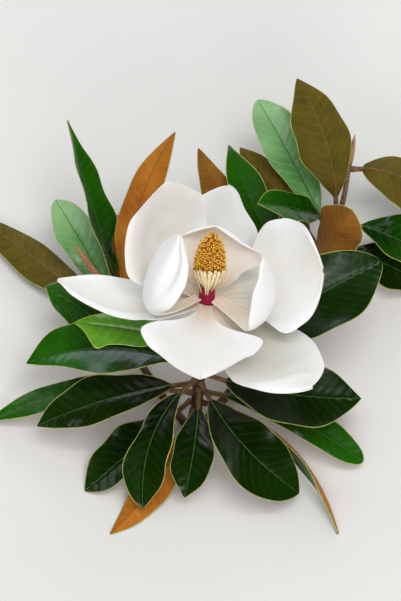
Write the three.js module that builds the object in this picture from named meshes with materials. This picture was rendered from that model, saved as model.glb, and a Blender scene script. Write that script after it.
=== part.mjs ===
// A cut flowering sprig of evergreen magnolia, lying on a level surface.
// Millimetres, +Z up. The sprig rests on z = 0, with the cut end towards -Y
// and the open flower raised on its stalk over the fork of the two side shoots.
import * as THREE from 'three';

const { degToRad, lerp } = THREE.MathUtils;

// ---------------------------------------------------------------- driving dimensions

// Pieces that touch on the plant stand this far apart.
const SEAT_GAP = 0.3;

// The flower leans back from upright, and its stalk comes up from the fork of the twig.
const FLOWER_LEAN = degToRad(27);
const FLOWER_BEARING = degToRad(81);
const FLOWER_BASE = new THREE.Vector3(0, 0, 106);

// The twig and its shoots: radii at their two ends. The stalk starts this far below the flower.
const TWIG = { start: 5, end: 4.3, sides: 10, steps: 22 };
const SHOOT = { start: 3.6, end: 2.2, sides: 8, steps: 14 };
const STALK_LENGTH = 91;
const TORUS_GAP = 1;

// Centre of the flower, measured along its axis from the base of the tepals.
const TORUS = { radius: 6.2, collar: 9, neck: 6, top: 26, sides: 14 };
const STAMENS = {
  count: 28,
  inner: [[6.5, 18.5], [8.8, 26], [11.4, 33], [13.6, 39], [14.4, 45]],
  thickness: 0.7,
  relief: 0.7,
};
const CONE = {
  foot: 26.3,
  top: 70,
  radius: 12.6,
  swell: 0.66,
  fullness: 0.8,
  knob: 0.45,
  sides: 20,
  rows: 13,
};
const BUD = { belly: 1.6, bluntness: 0.9, sides: 8, rings: 6 };

const TEPAL = { thickness: 1.5, clawWidth: 13, tipTaper: 0.25, stations: 12, across: 7 };
const LEAF = {
  thickness: 2.2,
  petioleRadius: 2,
  petioleLength: 18,
  thinsOver: 0.25,
  cup: degToRad(14),
  fold: 0.1,
  outline: { widest: 0.5, foot: 0.9, tip: 0.85 },
  stations: 11,
  across: 4,
};

// Where the middle of the footprint lies in the frame that the sprig is laid out in.
const FOOTPRINT_CENTRE = new THREE.Vector3(2.6, 29.1, 0);

// ---------------------------------------------------------------- finishes

const finish = (color, roughness) => new THREE.MeshStandardMaterial({ color, roughness, metalness: 0 });
const FINISHES = {
  bark: () => finish(0x5a3e2a, 0.9),
  torus: () => finish(0xa8104a, 0.7),
  stamens: () => finish(0xf0dcae, 0.6),
  cone: () => finish(0xe09a18, 0.6),
  tepal: () => finish(0xf7f6f1, 0.45),
  leafTop: () => finish(0x1f5a16, 0.25),
  leafUnder: () => finish(0x9a5a1c, 0.8),
  bud: () => finish(0x9b6c48, 0.8),
};

// ---------------------------------------------------------------- geometry helpers

const UP = new THREE.Vector3(0, 0, 1);

// Stations along a blade crowd slightly towards its foot by this power.
const STATION_SPACING = 0.95;

// Fills a ring of an even number of corners with a strip, from corner 0 to the one opposite.
function capFaces(first, size) {
  const faces = [];
  for (let j = 0; j < size / 2; j += 1) {
    const near = first + j;
    const far = first + ((size - j) % size);
    if (near + 1 < first + size - j - 1) faces.push(near, near + 1, first + size - j - 1);
    if (far !== near) faces.push(near, first + size - j - 1, far);
  }
  return faces;
}

// Closes a stack of rings with a flat cap at the start and a point or cap at the end. The two
// halves of a ring are split along matching diagonals, so that a thin blade never crosses itself.
function loftRings(rings, tip) {
  const size = rings[0].length;
  const positions = rings.flat().flatMap((p) => [p.x, p.y, p.z]);
  const faces = [];
  for (let i = 0; i + 1 < rings.length; i += 1) {
    for (let j = 0; j < size; j += 1) {
      const a = i * size + j;
      const b = i * size + ((j + 1) % size);
      if (j < size / 2) faces.push(a, b, b + size, a, b + size, a + size);
      else faces.push(a, b, a + size, b, b + size, a + size);
    }
  }
  faces.push(...capFaces(0, size).reverse());
  const last = (rings.length - 1) * size;
  if (tip) {
    const apex = positions.length / 3;
    positions.push(tip.x, tip.y, tip.z);
    for (let j = 0; j < size; j += 1) faces.push(last + j, last + ((j + 1) % size), apex);
  } else {
    faces.push(...capFaces(last, size));
  }
  const geometry = new THREE.BufferGeometry();
  geometry.setAttribute('position', new THREE.Float32BufferAttribute(positions, 3));
  geometry.setIndex(faces);
  geometry.computeVertexNormals();
  return geometry;
}

// Raises a ring that would pass through the floor until it just lies on it.
function liftOntoFloor(ring) {
  const sunk = Math.min(0, ...ring.map((point) => point.z));
  for (const point of ring) point.z -= sunk;
}

// A round tapering limb along a curve, flat at both ends.
function limb(curve, { start, end, sides, steps }) {
  const frames = curve.computeFrenetFrames(steps, false);
  const rings = [];
  for (let i = 0; i <= steps; i += 1) {
    const centre = curve.getPointAt(i / steps);
    const radius = lerp(start, end, i / steps);
    const ring = [];
    for (let j = 0; j < sides; j += 1) {
      const angle = (2 * Math.PI * j) / sides;
      ring.push(centre.clone()
        .addScaledVector(frames.normals[i], radius * Math.cos(angle))
        .addScaledVector(frames.binormals[i], radius * Math.sin(angle)));
    }
    liftOntoFloor(ring);
    rings.push(ring);
  }
  return loftRings(rings);
}

// Half width of a blade at t: a narrow foot, its widest place, and a tip.
function bladeWidth(t, { widest, foot, tip }) {
  if (t < widest) return Math.sin((Math.PI / 2) * (t / widest)) ** foot;
  return Math.cos((Math.PI / 2) * ((t - widest) / (1 - widest))) ** tip;
}

// A thin blade along a curve. section(t) gives its half width, thickness, cup and fold. Its
// width lies along side, or level where no side is given, and is then rolled about its length.
function blade(curve, { stations, across, roll, side, section, floor = false }) {
  const rings = [];
  for (let i = 0; i < stations; i += 1) {
    const t = 0.5 - 0.5 * Math.cos(Math.PI * (i / stations) ** STATION_SPACING);
    const along = curve.getTangentAt(t);
    const right = side ? side.clone().addScaledVector(along, -side.dot(along)).normalize()
      : new THREE.Vector3().crossVectors(along, UP).normalize();
    right.applyAxisAngle(along, roll);
    const normal = new THREE.Vector3().crossVectors(right, along);
    const { half, thick, cup, fold = 0 } = section(t);
    const centre = curve.getPointAt(t);
    const rail = (u, sign) => {
      const bend = Math.max(cup, 1e-4);
      const x = (half / bend) * Math.sin(bend * u);
      const y = (half / bend) * (1 - Math.cos(bend * u)) + fold * half * Math.abs(u);
      const lift = sign * 0.5 * thick * Math.cos((Math.PI / 2) * u);
      return centre.clone().addScaledVector(right, x).addScaledVector(normal, y + lift);
    };
    const ring = [];
    for (let j = 0; j < across; j += 1) ring.push(rail(-1 + (2 * j) / across, 1));
    for (let j = 0; j < across; j += 1) ring.push(rail(1 - (2 * j) / across, -1));
    if (floor) liftOntoFloor(ring);
    rings.push(ring);
  }
  const tip = curve.getPointAt(1);
  if (floor) liftOntoFloor([tip]);
  return loftRings(rings, tip);
}

function named(name, geometry, material) {
  const mesh = new THREE.Mesh(geometry, material);
  mesh.name = name;
  return mesh;
}

// ---------------------------------------------------------------- twig and shoots

const flowerAxis = new THREE.Vector3(
  Math.sin(FLOWER_LEAN) * Math.cos(FLOWER_BEARING),
  Math.sin(FLOWER_LEAN) * Math.sin(FLOWER_BEARING),
  Math.cos(FLOWER_LEAN),
);
const belowFlower = (distance) => FLOWER_BASE.clone().addScaledVector(flowerAxis, -distance);

const FORK = new THREE.Vector3(-9, -68, 6);
const twigCurve = new THREE.CatmullRomCurve3([
  new THREE.Vector3(-13, -117, TWIG.start),
  new THREE.Vector3(-11, -92, TWIG.start),
  FORK,
  belowFlower(STALK_LENGTH),
  belowFlower(0.66 * STALK_LENGTH),
  belowFlower(0.27 * STALK_LENGTH),
  belowFlower(TORUS_GAP),
], false, 'centripetal');

const SHOOTS = {
  twig: { curve: twigCurve, size: TWIG },
  left_shoot: {
    curve: new THREE.CatmullRomCurve3([
      new THREE.Vector3(-15.5, -61, 5.5),
      new THREE.Vector3(-40, -28, 3.9),
      new THREE.Vector3(-60, 6, 8),
      new THREE.Vector3(-70, 34, 26),
      new THREE.Vector3(-86, 50, 46),
    ], false, 'centripetal'),
    size: SHOOT,
  },
  right_shoot: {
    curve: new THREE.CatmullRomCurve3([
      new THREE.Vector3(-2, -60, 5.5),
      new THREE.Vector3(28, -20, 4),
      new THREE.Vector3(62, 28, 3.8),
      new THREE.Vector3(94, 80, 14),
      new THREE.Vector3(113, 120, 36),
      new THREE.Vector3(120, 152, 60),
    ], false, 'centripetal'),
    size: SHOOT,
  },
};

function radiusOn(shoot, t) {
  return lerp(shoot.size.start, shoot.size.end, t);
}

// ---------------------------------------------------------------- leaves

// The leaves of each shoot. at: distance of its node from the shoot's outer end. tip: where
// the blade ends. arch and sweep: how far the blade bows up and to its right off a straight
// line. roll: its turn about its own length, 0 with the glossy side up, 180 with the rusty.
const LEAVES = {
  twig: [
    { name: 'leaf_07', at: 38, tip: [-104, -9, 92], width: 30, arch: 0, sweep: 2, roll: -10 },
    { name: 'leaf_19', at: 56, tip: [141, 53, 75], width: 63, arch: 8, sweep: 2, roll: 0 },
    { name: 'leaf_08', at: 66, tip: [-144, -23, 44], width: 43, arch: 12, sweep: 11, roll: 0 },
    { name: 'leaf_17', at: 68, tip: [124, -51, 38], width: 56, arch: 6, sweep: 9, roll: 0 },
    { name: 'leaf_12', at: 74, tip: [-50, -134, 12], width: 35, arch: 12, sweep: 13, roll: 0 },
    { name: 'leaf_15', at: 76, tip: [74, -121, 10], width: 48, arch: 14, sweep: 12, roll: 0 },
    { name: 'leaf_10', at: 80, tip: [-135, -70, 26], width: 40, arch: 8, sweep: 3, roll: 0 },
    { name: 'leaf_14', at: 82, tip: [-17, -126, 14], width: 33, arch: 8, sweep: -3, roll: 0 },
    { name: 'leaf_18', at: 88, tip: [126, -94, 8], width: 30, arch: 6, sweep: -8, roll: 0 },
    { name: 'leaf_09', at: 90, tip: [-180, -57, 0], width: 30, arch: 12, sweep: 8, roll: 20 },
    { name: 'leaf_11', at: 96, tip: [-97, -116, 0], width: 35, arch: 3, sweep: 0, roll: 0 },
    { name: 'leaf_16', at: 98, tip: [105, -152, 0], width: 24, arch: 10, sweep: -22, roll: 100 },
    { name: 'leaf_13', at: 102, tip: [-76, -152, 0], width: 28, arch: 1, sweep: -8, roll: 180 },
  ],
  left_shoot: [
    { name: 'leaf_01', at: 22, tip: [-114, 175, 90], width: 36, arch: 6, sweep: 0, roll: 45 },
    { name: 'leaf_02', at: 34, tip: [-125, 124, 46], width: 34, arch: 4, sweep: 0, roll: 0 },
    { name: 'leaf_04', at: 40, tip: [-85, 125, 34], width: 34, arch: 2, sweep: 5, roll: 180 },
    { name: 'leaf_03', at: 46, tip: [-25, 164, 90], width: 33, arch: 8, sweep: -14, roll: 180 },
    { name: 'leaf_05', at: 50, tip: [-203, 136, 0], width: 33, arch: 8, sweep: 0, roll: 180 },
    { name: 'leaf_06', at: 62, tip: [-130, 39, 58], width: 38, arch: 4, sweep: 0, roll: 0 },
  ],
  right_shoot: [
    { name: 'leaf_26', at: 5, tip: [204, 97, 30], width: 46, arch: 14, sweep: -14, roll: 180 },
    { name: 'leaf_25', at: 46, tip: [75, 204, 108], width: 48, arch: 12, sweep: 5, roll: 180 },
    { name: 'leaf_28', at: 50, tip: [194, 86, 0], width: 44, arch: 14, sweep: 0, roll: 0 },
    { name: 'leaf_21', at: 54, tip: [42, 101, 84], width: 37, arch: 3, sweep: 3, roll: 0 },
    { name: 'leaf_27', at: 62, tip: [44, 211, 62], width: 40, arch: 4, sweep: 0, roll: 0 },
    { name: 'leaf_29', at: 70, tip: [187, 66, 0], width: 42, arch: 6, sweep: 0, roll: 0 },
    { name: 'leaf_24', at: 78, tip: [29, 174, 46], width: 38, arch: 6, sweep: 0, roll: 180 },
    { name: 'leaf_20', at: 100, tip: [118, 93, 88], width: 54, arch: 4, sweep: 2, roll: 180 },
    { name: 'leaf_22', at: 116, tip: [19, 162, 72], width: 32, arch: 4, sweep: 0, roll: 0 },
    { name: 'leaf_23', at: 136, tip: [-6, 160, 70], width: 34, arch: 4, sweep: -6, roll: 180 },
  ],
};

// A leaf whose petiole starts just clear of the bark and widens into a cupped, pointed blade.
function leaf(shoot, { name, at, tip, width, arch, sweep, roll }) {
  const place = 1 - at / shoot.curve.getLength();
  const node = shoot.curve.getPointAt(place);
  const bough = shoot.curve.getTangentAt(place);
  const end = new THREE.Vector3(...tip);
  const chord = end.clone().sub(node);
  const level = new THREE.Vector3().crossVectors(chord, UP).normalize();
  const over = new THREE.Vector3().crossVectors(level, chord).normalize();
  const handle = node.clone().addScaledVector(chord, 0.5)
    .addScaledVector(over, 2 * arch).addScaledVector(level, 2 * sweep);
  const heading = handle.clone().sub(node).normalize();
  const outward = heading.clone().addScaledVector(bough, -heading.dot(bough)).normalize();
  const slant = Math.sqrt(Math.max(0, 1 - heading.dot(outward) ** 2));
  const clear = radiusOn(shoot, place) + SEAT_GAP + LEAF.petioleRadius * slant;
  const seat = node.clone().addScaledVector(outward, clear);
  const curve = new THREE.QuadraticBezierCurve3(seat, handle, end);
  const bare = LEAF.petioleLength / curve.getLength();
  const section = (t) => {
    if (t <= bare) return { half: LEAF.petioleRadius, thick: 2 * LEAF.petioleRadius, cup: 0 };
    const along = (t - bare) / (1 - bare);
    const half = lerp(LEAF.petioleRadius, width / 2, bladeWidth(along, LEAF.outline));
    const thin = Math.min(1, along / LEAF.thinsOver);
    const thick = lerp(2 * LEAF.petioleRadius, LEAF.thickness, thin);
    return { half, thick, cup: LEAF.cup, fold: LEAF.fold };
  };
  const geometry = blade(curve, { ...LEAF, roll: degToRad(roll), section, floor: true });
  const rusty = Math.cos(degToRad(roll)) < 0;
  return named(name, geometry, rusty ? FINISHES.leafUnder() : FINISHES.leafTop());
}

// ---------------------------------------------------------------- the flower

// Each tepal, in the flower's own frame. at: height of its foot. bearing: its direction round
// the axis. opens: how far from the axis its foot sets out. handle: how long it holds that
// line. reach, rise and drift: its tip's distance out, height and sideways shift. Angles in degrees.
const TEPALS = [
  { name: 'tepal_outer_left', at: 1, bearing: 181.7, opens: 98.6, handle: 69.4, reach: 115.9,
    rise: 20.8, width: 48.7, cup: 25.5, outline: { widest: 0.504, foot: 0.61, tip: 0.82 } },
  { name: 'tepal_outer_back', at: 1, bearing: 80.5, opens: 83, handle: 56.8, reach: 80.9,
    rise: 58.5, drift: 1.3, width: 62.4, cup: 9.5, roll: 19.6,
    outline: { widest: 0.538, foot: 1.25, tip: 0.43 } },
  { name: 'tepal_outer_right', at: 1, bearing: 312.2, opens: 108.8, handle: 53.9, reach: 116.1,
    rise: -5.3, drift: -2.6, width: 83.7, cup: 12.8, roll: -1,
    outline: { widest: 0.619, foot: 1.38, tip: 0.38 } },
  { name: 'tepal_middle_left', at: 4, bearing: 135.1, opens: 78.4, handle: 54.3, reach: 55.1,
    rise: 84.7, drift: 4.9, width: 91.6, cup: 30.3, roll: -11.6,
    outline: { widest: 0.48, foot: 1.71, tip: 0.36 } },
  { name: 'tepal_middle_right', at: 4, bearing: 19.1, opens: 81.4, handle: 55.2, reach: 80.9,
    rise: 40.5, drift: 30.4, width: 100.2, cup: 24.5, roll: 16.3,
    outline: { widest: 0.705, foot: 2.09, tip: 0.29 } },
  { name: 'tepal_middle_front', at: 4, bearing: 262.4, opens: 83.7, handle: 55.6, reach: 100.7,
    rise: 9.3, drift: -6, width: 88.8, cup: 24, roll: -3.1,
    outline: { widest: 0.602, foot: 2.84, tip: 0.54 } },
  { name: 'tepal_inner_back', at: 8.4, bearing: 79.4, opens: 46, handle: 50, reach: 25,
    rise: 57.5, drift: -1, width: 87, cup: 46, roll: 0,
    outline: { widest: 0.48, foot: 1.1, tip: 0.33 } },
  { name: 'tepal_inner_left', at: 8.4, bearing: 207.6, opens: 106.4, handle: 84, reach: 28.4,
    rise: 76.1, width: 50, cup: 59.4, roll: 7.2,
    outline: { widest: 0.687, foot: 2.16, tip: 0.6 } },
  { name: 'tepal_inner_right', at: 8.4, bearing: 330.4, opens: 103, handle: 75.5, reach: 44.5,
    rise: 66, drift: 1.6, width: 49, cup: 34, roll: 9,
    outline: { widest: 0.636, foot: 1.48, tip: 0.7 } },
];

function tepal(spec) {
  const { name, at, bearing, opens, handle, reach, rise, drift = 0 } = spec;
  const { width, cup, roll = 0, outline } = spec;
  const angle = degToRad(bearing);
  const out = new THREE.Vector3(Math.cos(angle), Math.sin(angle), 0);
  const side = new THREE.Vector3(Math.sin(angle), -Math.cos(angle), 0);
  const place = (radial, height, across) => out.clone().multiplyScalar(radial)
    .addScaledVector(UP, height).addScaledVector(side, across);
  const slope = degToRad(opens);
  const seat = TORUS.radius + SEAT_GAP + 0.5 * TEPAL.thickness * Math.abs(Math.cos(slope));
  const curve = new THREE.QuadraticBezierCurve3(
    place(seat, at, 0),
    place(seat + handle * Math.sin(slope), at + handle * Math.cos(slope), 0),
    place(reach, rise, drift),
  );
  const section = (t) => {
    const spread = (TEPAL.clawWidth + (width - TEPAL.clawWidth) * bladeWidth(t, outline)) / 2;
    const taper = bladeWidth(Math.max(t, outline.widest), { ...outline, tip: TEPAL.tipTaper });
    return { half: spread * taper, thick: TEPAL.thickness, cup: degToRad(cup) };
  };
  const geometry = blade(curve, { ...TEPAL, roll: degToRad(roll), side, section });
  return named(name, geometry, FINISHES.tepal());
}

function buildTorus() {
  const profile = [
    new THREE.Vector2(0, 0),
    new THREE.Vector2(TORUS.radius, 0),
    new THREE.Vector2(TORUS.radius, TORUS.collar),
    new THREE.Vector2(TORUS.neck, TORUS.top),
    new THREE.Vector2(0, TORUS.top),
  ];
  const geometry = new THREE.LatheGeometry(profile, TORUS.sides).rotateX(Math.PI / 2);
  return named('torus', geometry, FINISHES.torus());
}

// The stamens stand side by side in one fluted cup: every other corner of it is a strap.
function buildStamens() {
  const { count, inner, thickness, relief } = STAMENS;
  const outer = inner.map(([radius, height]) => [radius + thickness, height]).reverse();
  const section = [...inner, ...outer];
  const corners = 2 * count;
  const positions = [];
  for (let i = 0; i < corners; i += 1) {
    const angle = (2 * Math.PI * i) / corners;
    section.forEach(([radius, height], k) => {
      const onStrap = i % 2 === 0;
      const reach = radius + (k >= inner.length && onStrap ? relief : 0);
      const drop = k >= inner.length - 1 && k <= inner.length && !onStrap ? relief : 0;
      positions.push(reach * Math.cos(angle), reach * Math.sin(angle), height - drop);
    });
  }
  const faces = [];
  for (let i = 0; i < corners; i += 1) {
    for (let k = 0; k < section.length; k += 1) {
      const a = i * section.length + k;
      const b = i * section.length + ((k + 1) % section.length);
      const c = ((i + 1) % corners) * section.length + k;
      const d = ((i + 1) % corners) * section.length + ((k + 1) % section.length);
      faces.push(a, b, d, a, d, c);
    }
  }
  const geometry = new THREE.BufferGeometry();
  geometry.setAttribute('position', new THREE.Float32BufferAttribute(positions, 3));
  geometry.setIndex(faces);
  geometry.computeVertexNormals();
  return named('stamens', geometry, FINISHES.stamens());
}

// The cone of carpels: an egg with a knob at every other corner of its grid.
function buildCone() {
  const { foot, top, radius, swell, fullness, knob, sides, rows } = CONE;
  const rings = [];
  for (let i = 1; i < rows; i += 1) {
    const share = i / rows;
    const reach = radius * Math.sin(Math.PI * share ** swell) ** fullness;
    const ring = [];
    for (let j = 0; j < sides; j += 1) {
      const angle = (2 * Math.PI * j) / sides;
      const proud = reach + ((i + j) % 2 ? knob : -knob);
      const height = lerp(foot, top, share);
      ring.push(new THREE.Vector3(proud * Math.cos(angle), proud * Math.sin(angle), height));
    }
    rings.push(ring);
  }
  return named('cone', loftRings(rings, new THREE.Vector3(0, 0, top)), FINISHES.cone());
}

// A pointed bud that ends a shoot.
function bud({ name, on, length, radius }) {
  const { curve } = SHOOTS[on];
  const direction = curve.getTangentAt(1);
  const start = curve.getPointAt(1).addScaledVector(direction, SEAT_GAP);
  const profile = [new THREE.Vector2(0, 0)];
  for (let i = 0; i < BUD.rings; i += 1) {
    const share = i / BUD.rings;
    const reach = radius * Math.cos((Math.PI / 2) * share ** BUD.belly) ** BUD.bluntness;
    profile.push(new THREE.Vector2(reach, share * length));
  }
  profile.push(new THREE.Vector2(0, length));
  const mesh = named(name, new THREE.LatheGeometry(profile, BUD.sides), FINISHES.bud());
  mesh.position.copy(start);
  mesh.quaternion.setFromUnitVectors(new THREE.Vector3(0, 1, 0), direction);
  return mesh;
}

const BUDS = [
  { name: 'bud_left', on: 'left_shoot', length: 38, radius: 3.0 },
  { name: 'bud_right', on: 'right_shoot', length: 24, radius: 2.4 },
];

function buildFlower() {
  const flower = new THREE.Group();
  flower.add(buildTorus(), buildStamens(), buildCone());
  for (const spec of TEPALS) flower.add(tepal(spec));
  flower.position.copy(FLOWER_BASE);
  flower.quaternion.setFromUnitVectors(UP, flowerAxis);
  return flower;
}

// ---------------------------------------------------------------- the whole sprig

const sprig = new THREE.Group();
for (const [name, { curve, size }] of Object.entries(SHOOTS)) {
  sprig.add(named(name, limb(curve, size), FINISHES.bark()));
}
sprig.add(buildFlower());
for (const [name, leaves] of Object.entries(LEAVES)) {
  for (const spec of leaves) sprig.add(leaf(SHOOTS[name], spec));
}
for (const spec of BUDS) sprig.add(bud(spec));
sprig.position.copy(FOOTPRINT_CENTRE).negate();

export default sprig;
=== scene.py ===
"""Dresses a cut flowering sprig of evergreen magnolia that lies on a pale floor.

The cut end points to -Y and the open flower stands on its stalk over the fork of two side
shoots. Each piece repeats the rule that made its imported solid, with finer rings, veins,
curls and rolled rims, and replaces that solid. Sizes are millimetres in the frame that the
sprig is laid out in, and the meshes are written in metres round the sprig's own footprint.
"""

import itertools
import logging
import math
import random
from collections.abc import Iterable
from dataclasses import dataclass, field
from enum import Enum, IntEnum

import bpy
import numpy as np
from mathutils import Matrix

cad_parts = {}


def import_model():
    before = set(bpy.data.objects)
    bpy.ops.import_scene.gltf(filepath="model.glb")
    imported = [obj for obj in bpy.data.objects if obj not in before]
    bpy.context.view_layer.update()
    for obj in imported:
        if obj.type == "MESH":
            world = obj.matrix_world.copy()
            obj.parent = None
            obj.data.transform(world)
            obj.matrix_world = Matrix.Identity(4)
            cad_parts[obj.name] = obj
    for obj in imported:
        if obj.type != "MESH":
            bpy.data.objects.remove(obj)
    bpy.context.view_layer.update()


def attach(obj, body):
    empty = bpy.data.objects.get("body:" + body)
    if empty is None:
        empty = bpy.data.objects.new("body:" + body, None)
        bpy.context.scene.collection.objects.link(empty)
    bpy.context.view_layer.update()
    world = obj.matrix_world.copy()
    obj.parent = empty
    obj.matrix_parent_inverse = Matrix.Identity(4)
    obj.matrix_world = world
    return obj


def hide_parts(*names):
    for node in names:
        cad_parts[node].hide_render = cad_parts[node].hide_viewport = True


LOG = logging.getLogger("magnolia")

METRE = 0.001
BODY = "root"
BAKE_MAP = "OFBake"
MAP_EDGE = 0.02
TURN = 2 * math.pi
QUARTER = 0.5 * math.pi
UP = np.array([0.0, 0.0, 1.0])
FOOTPRINT_CENTRE = np.array([2.6, 29.1, 0.0])

FLOWER_LEAN = math.radians(27)
FLOWER_BEARING = math.radians(81)
FLOWER_BASE = np.array([0.0, 0.0, 106.0])
FLOWER_AXIS = np.array([
    math.sin(FLOWER_LEAN) * math.cos(FLOWER_BEARING),
    math.sin(FLOWER_LEAN) * math.sin(FLOWER_BEARING),
    math.cos(FLOWER_LEAN),
])

# Pieces that touch on the plant stand this far apart in the solids.
SEAT_GAP = 0.3

# Large odd numbers that scatter the noise's cells.
SCATTER_AXES = np.array([73856093, 19349663, 83492791])
SCATTER_SEED = 668265263
SCATTER_ALL = 1274126177
SCATTER_BITS = 0xFFFF

# Where the renderer's colour mix takes its two colours and gives the result.
MIX_FIRST, MIX_SECOND, MIX_RESULT = 6, 7, 2


# ------------------------------------------------------------------ numbers and vectors


def unit(vectors: np.ndarray) -> np.ndarray:
    """Scales vectors along the last axis to length one."""
    return vectors / np.linalg.norm(vectors, axis=-1, keepdims=True)


def lerp(start: float, end: float, share: np.ndarray | float) -> np.ndarray | float:
    """Goes from start to end as share goes from 0 to 1."""
    return start + (end - start) * share


def ease(values: np.ndarray, low: float, high: float) -> np.ndarray:
    """Goes smoothly from 0 at low to 1 at high, which may be the smaller one."""
    share = np.clip((values - low) / (high - low), 0.0, 1.0)
    return share * share * (3.0 - 2.0 * share)


def hump(values: np.ndarray, centre: float, spread: float) -> np.ndarray:
    """A rounded hump of height one, which falls to about a third at spread from its centre."""
    return np.exp(-(((values - centre) / spread) ** 2))


def circle(count: int) -> np.ndarray:
    """So many angles, evenly round a full turn."""
    return np.linspace(0.0, TURN, count, endpoint=False)


def coordinates(*parts: np.ndarray | float) -> np.ndarray:
    """Joins x, y and z, each given on the same grid or a part of it, into places."""
    return np.stack(np.broadcast_arrays(*parts), axis=-1)


def noise(points: np.ndarray, cell: float, seed: int) -> np.ndarray:
    """Smooth noise in space, the same for the same points and seed.

    Args:
        points: places along the last axis, three coordinates each.
        cell: the distance over which the noise changes.
        seed: which noise it is.

    Returns:
        One value from -1 to 1 for each place.
    """
    scaled = points / cell
    base = np.floor(scaled).astype(np.int64)
    share = ease(scaled - base, 0.0, 1.0)
    total = np.zeros(points.shape[:-1])
    for corner in itertools.product((0, 1), repeat=3):
        cube = (base + np.array(corner)) * SCATTER_AXES
        mixed = cube[..., 0] ^ cube[..., 1] ^ cube[..., 2]
        mixed = (mixed ^ (seed * SCATTER_SEED)) * SCATTER_ALL
        value = 2.0 * ((mixed >> 16) & SCATTER_BITS) / SCATTER_BITS - 1.0
        total += value * np.prod(np.where(corner, share, 1.0 - share), axis=-1)
    return total


def turned(vectors: np.ndarray, axes: np.ndarray, angle: np.ndarray) -> np.ndarray:
    """Turns vectors about axes of length one.

    Args:
        vectors: what to turn.
        axes: the axis of each.
        angle: the angle of each, in radians.

    Returns:
        The turned vectors.
    """
    cosine = np.cos(angle)[..., None]
    sine = np.sin(angle)[..., None]
    along = np.sum(vectors * axes, axis=-1, keepdims=True)
    return vectors * cosine + np.cross(axes, vectors) * sine + axes * along * (1.0 - cosine)


def flower_to_layout(points: np.ndarray) -> np.ndarray:
    """Moves points from the flower's own frame, where its axis is +Z, to the layout frame."""
    hinge = np.broadcast_to(unit(np.cross(UP, FLOWER_AXIS)), points.shape)
    return FLOWER_BASE + turned(points, hinge, np.full(points.shape[:-1], FLOWER_LEAN))


def round_axis(angle: np.ndarray | float) -> tuple[np.ndarray, np.ndarray]:
    """The level directions away from the flower's axis at an angle, and across it."""
    cosine, sine = np.cos(angle), np.sin(angle)
    return coordinates(cosine, sine, 0.0), coordinates(-sine, cosine, 0.0)


# ------------------------------------------------------------------ curves


class Curve:
    """A line through dense points, read by the share of its length."""

    def __init__(self, points: np.ndarray) -> None:
        """Measures the line.

        Args:
            points: places along it, close together.
        """
        self.points = points
        steps = np.linalg.norm(np.diff(points, axis=0), axis=1)
        self.along = np.concatenate([[0.0], np.cumsum(steps)])
        self.length = float(self.along[-1])
        self.slopes = unit(np.gradient(points, self.along, axis=0))

    def _read(self, table: np.ndarray, share: np.ndarray | float) -> np.ndarray:
        """Reads a table of vectors, one for each of the line's points, at shares."""
        reach = np.asarray(share) * self.length
        return np.stack([np.interp(reach, self.along, table[:, k]) for k in range(3)], axis=-1)

    def at(self, share: np.ndarray | float) -> np.ndarray:
        """The place at a share of the length."""
        return self._read(self.points, share)

    def tangent(self, share: np.ndarray | float) -> np.ndarray:
        """The direction at a share of the length."""
        return unit(self._read(self.slopes, share))


def bezier(start: np.ndarray, handle: np.ndarray, end: np.ndarray, pieces: int = 400) -> Curve:
    """A curve that leaves start towards handle and comes from it to end."""
    t = np.linspace(0.0, 1.0, pieces + 1)[:, None]
    return Curve((1 - t) ** 2 * start + 2 * (1 - t) * t * handle + t**2 * end)


def through(points: list[np.ndarray], pieces: int = 60) -> Curve:
    """A smooth curve through points, by the centripetal Catmull-Rom rule.

    Args:
        points: the places that it passes.
        pieces: how many straight pieces stand for each stretch.

    Returns:
        The curve.
    """
    padded = [2 * points[0] - points[1], *points, 2 * points[-1] - points[-2]]
    t = np.linspace(0.0, 1.0, pieces, endpoint=False)[:, None]
    line = []
    for before, here, there, after in zip(padded, padded[1:], padded[2:], padded[3:]):
        stretches = ((before, here), (here, there), (there, after))
        come, pass_by, go = (math.sqrt(np.linalg.norm(b - a)) for a, b in stretches)
        leave = (here - before) / come - (there - before) / (come + pass_by)
        leave = (leave + (there - here) / pass_by) * pass_by
        arrive = (there - here) / pass_by - (after - here) / (pass_by + go)
        arrive = (arrive + (after - there) / go) * pass_by
        square = -3 * here + 3 * there - 2 * leave - arrive
        cube = 2 * here - 2 * there + leave + arrive
        line.append(here + leave * t + square * t**2 + cube * t**3)
    return Curve(np.concatenate([*line, points[-1][None, :]]))


def spokes(curve: Curve, shares: np.ndarray, angles: np.ndarray) -> np.ndarray:
    """Directions round a curve, carried along it without twisting.

    Args:
        curve: the curve.
        shares: where along it they are wanted.
        angles: where round it they are wanted.

    Returns:
        Stations by angles by coordinates, each of length one.
    """
    tangents = curve.tangent(shares)
    seed = np.cross(tangents[0], UP)
    if np.linalg.norm(seed) < 0.1:
        seed = np.array([1.0, 0.0, 0.0])
    first = []
    for tangent in tangents:
        seed = unit(seed - tangent * float(np.dot(seed, tangent)))
        first.append(seed)
    across = np.array(first)
    other = np.cross(tangents, across)
    return (across[:, None, :] * np.cos(angles)[None, :, None]
            + other[:, None, :] * np.sin(angles)[None, :, None])


# ------------------------------------------------------------------ meshes


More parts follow.
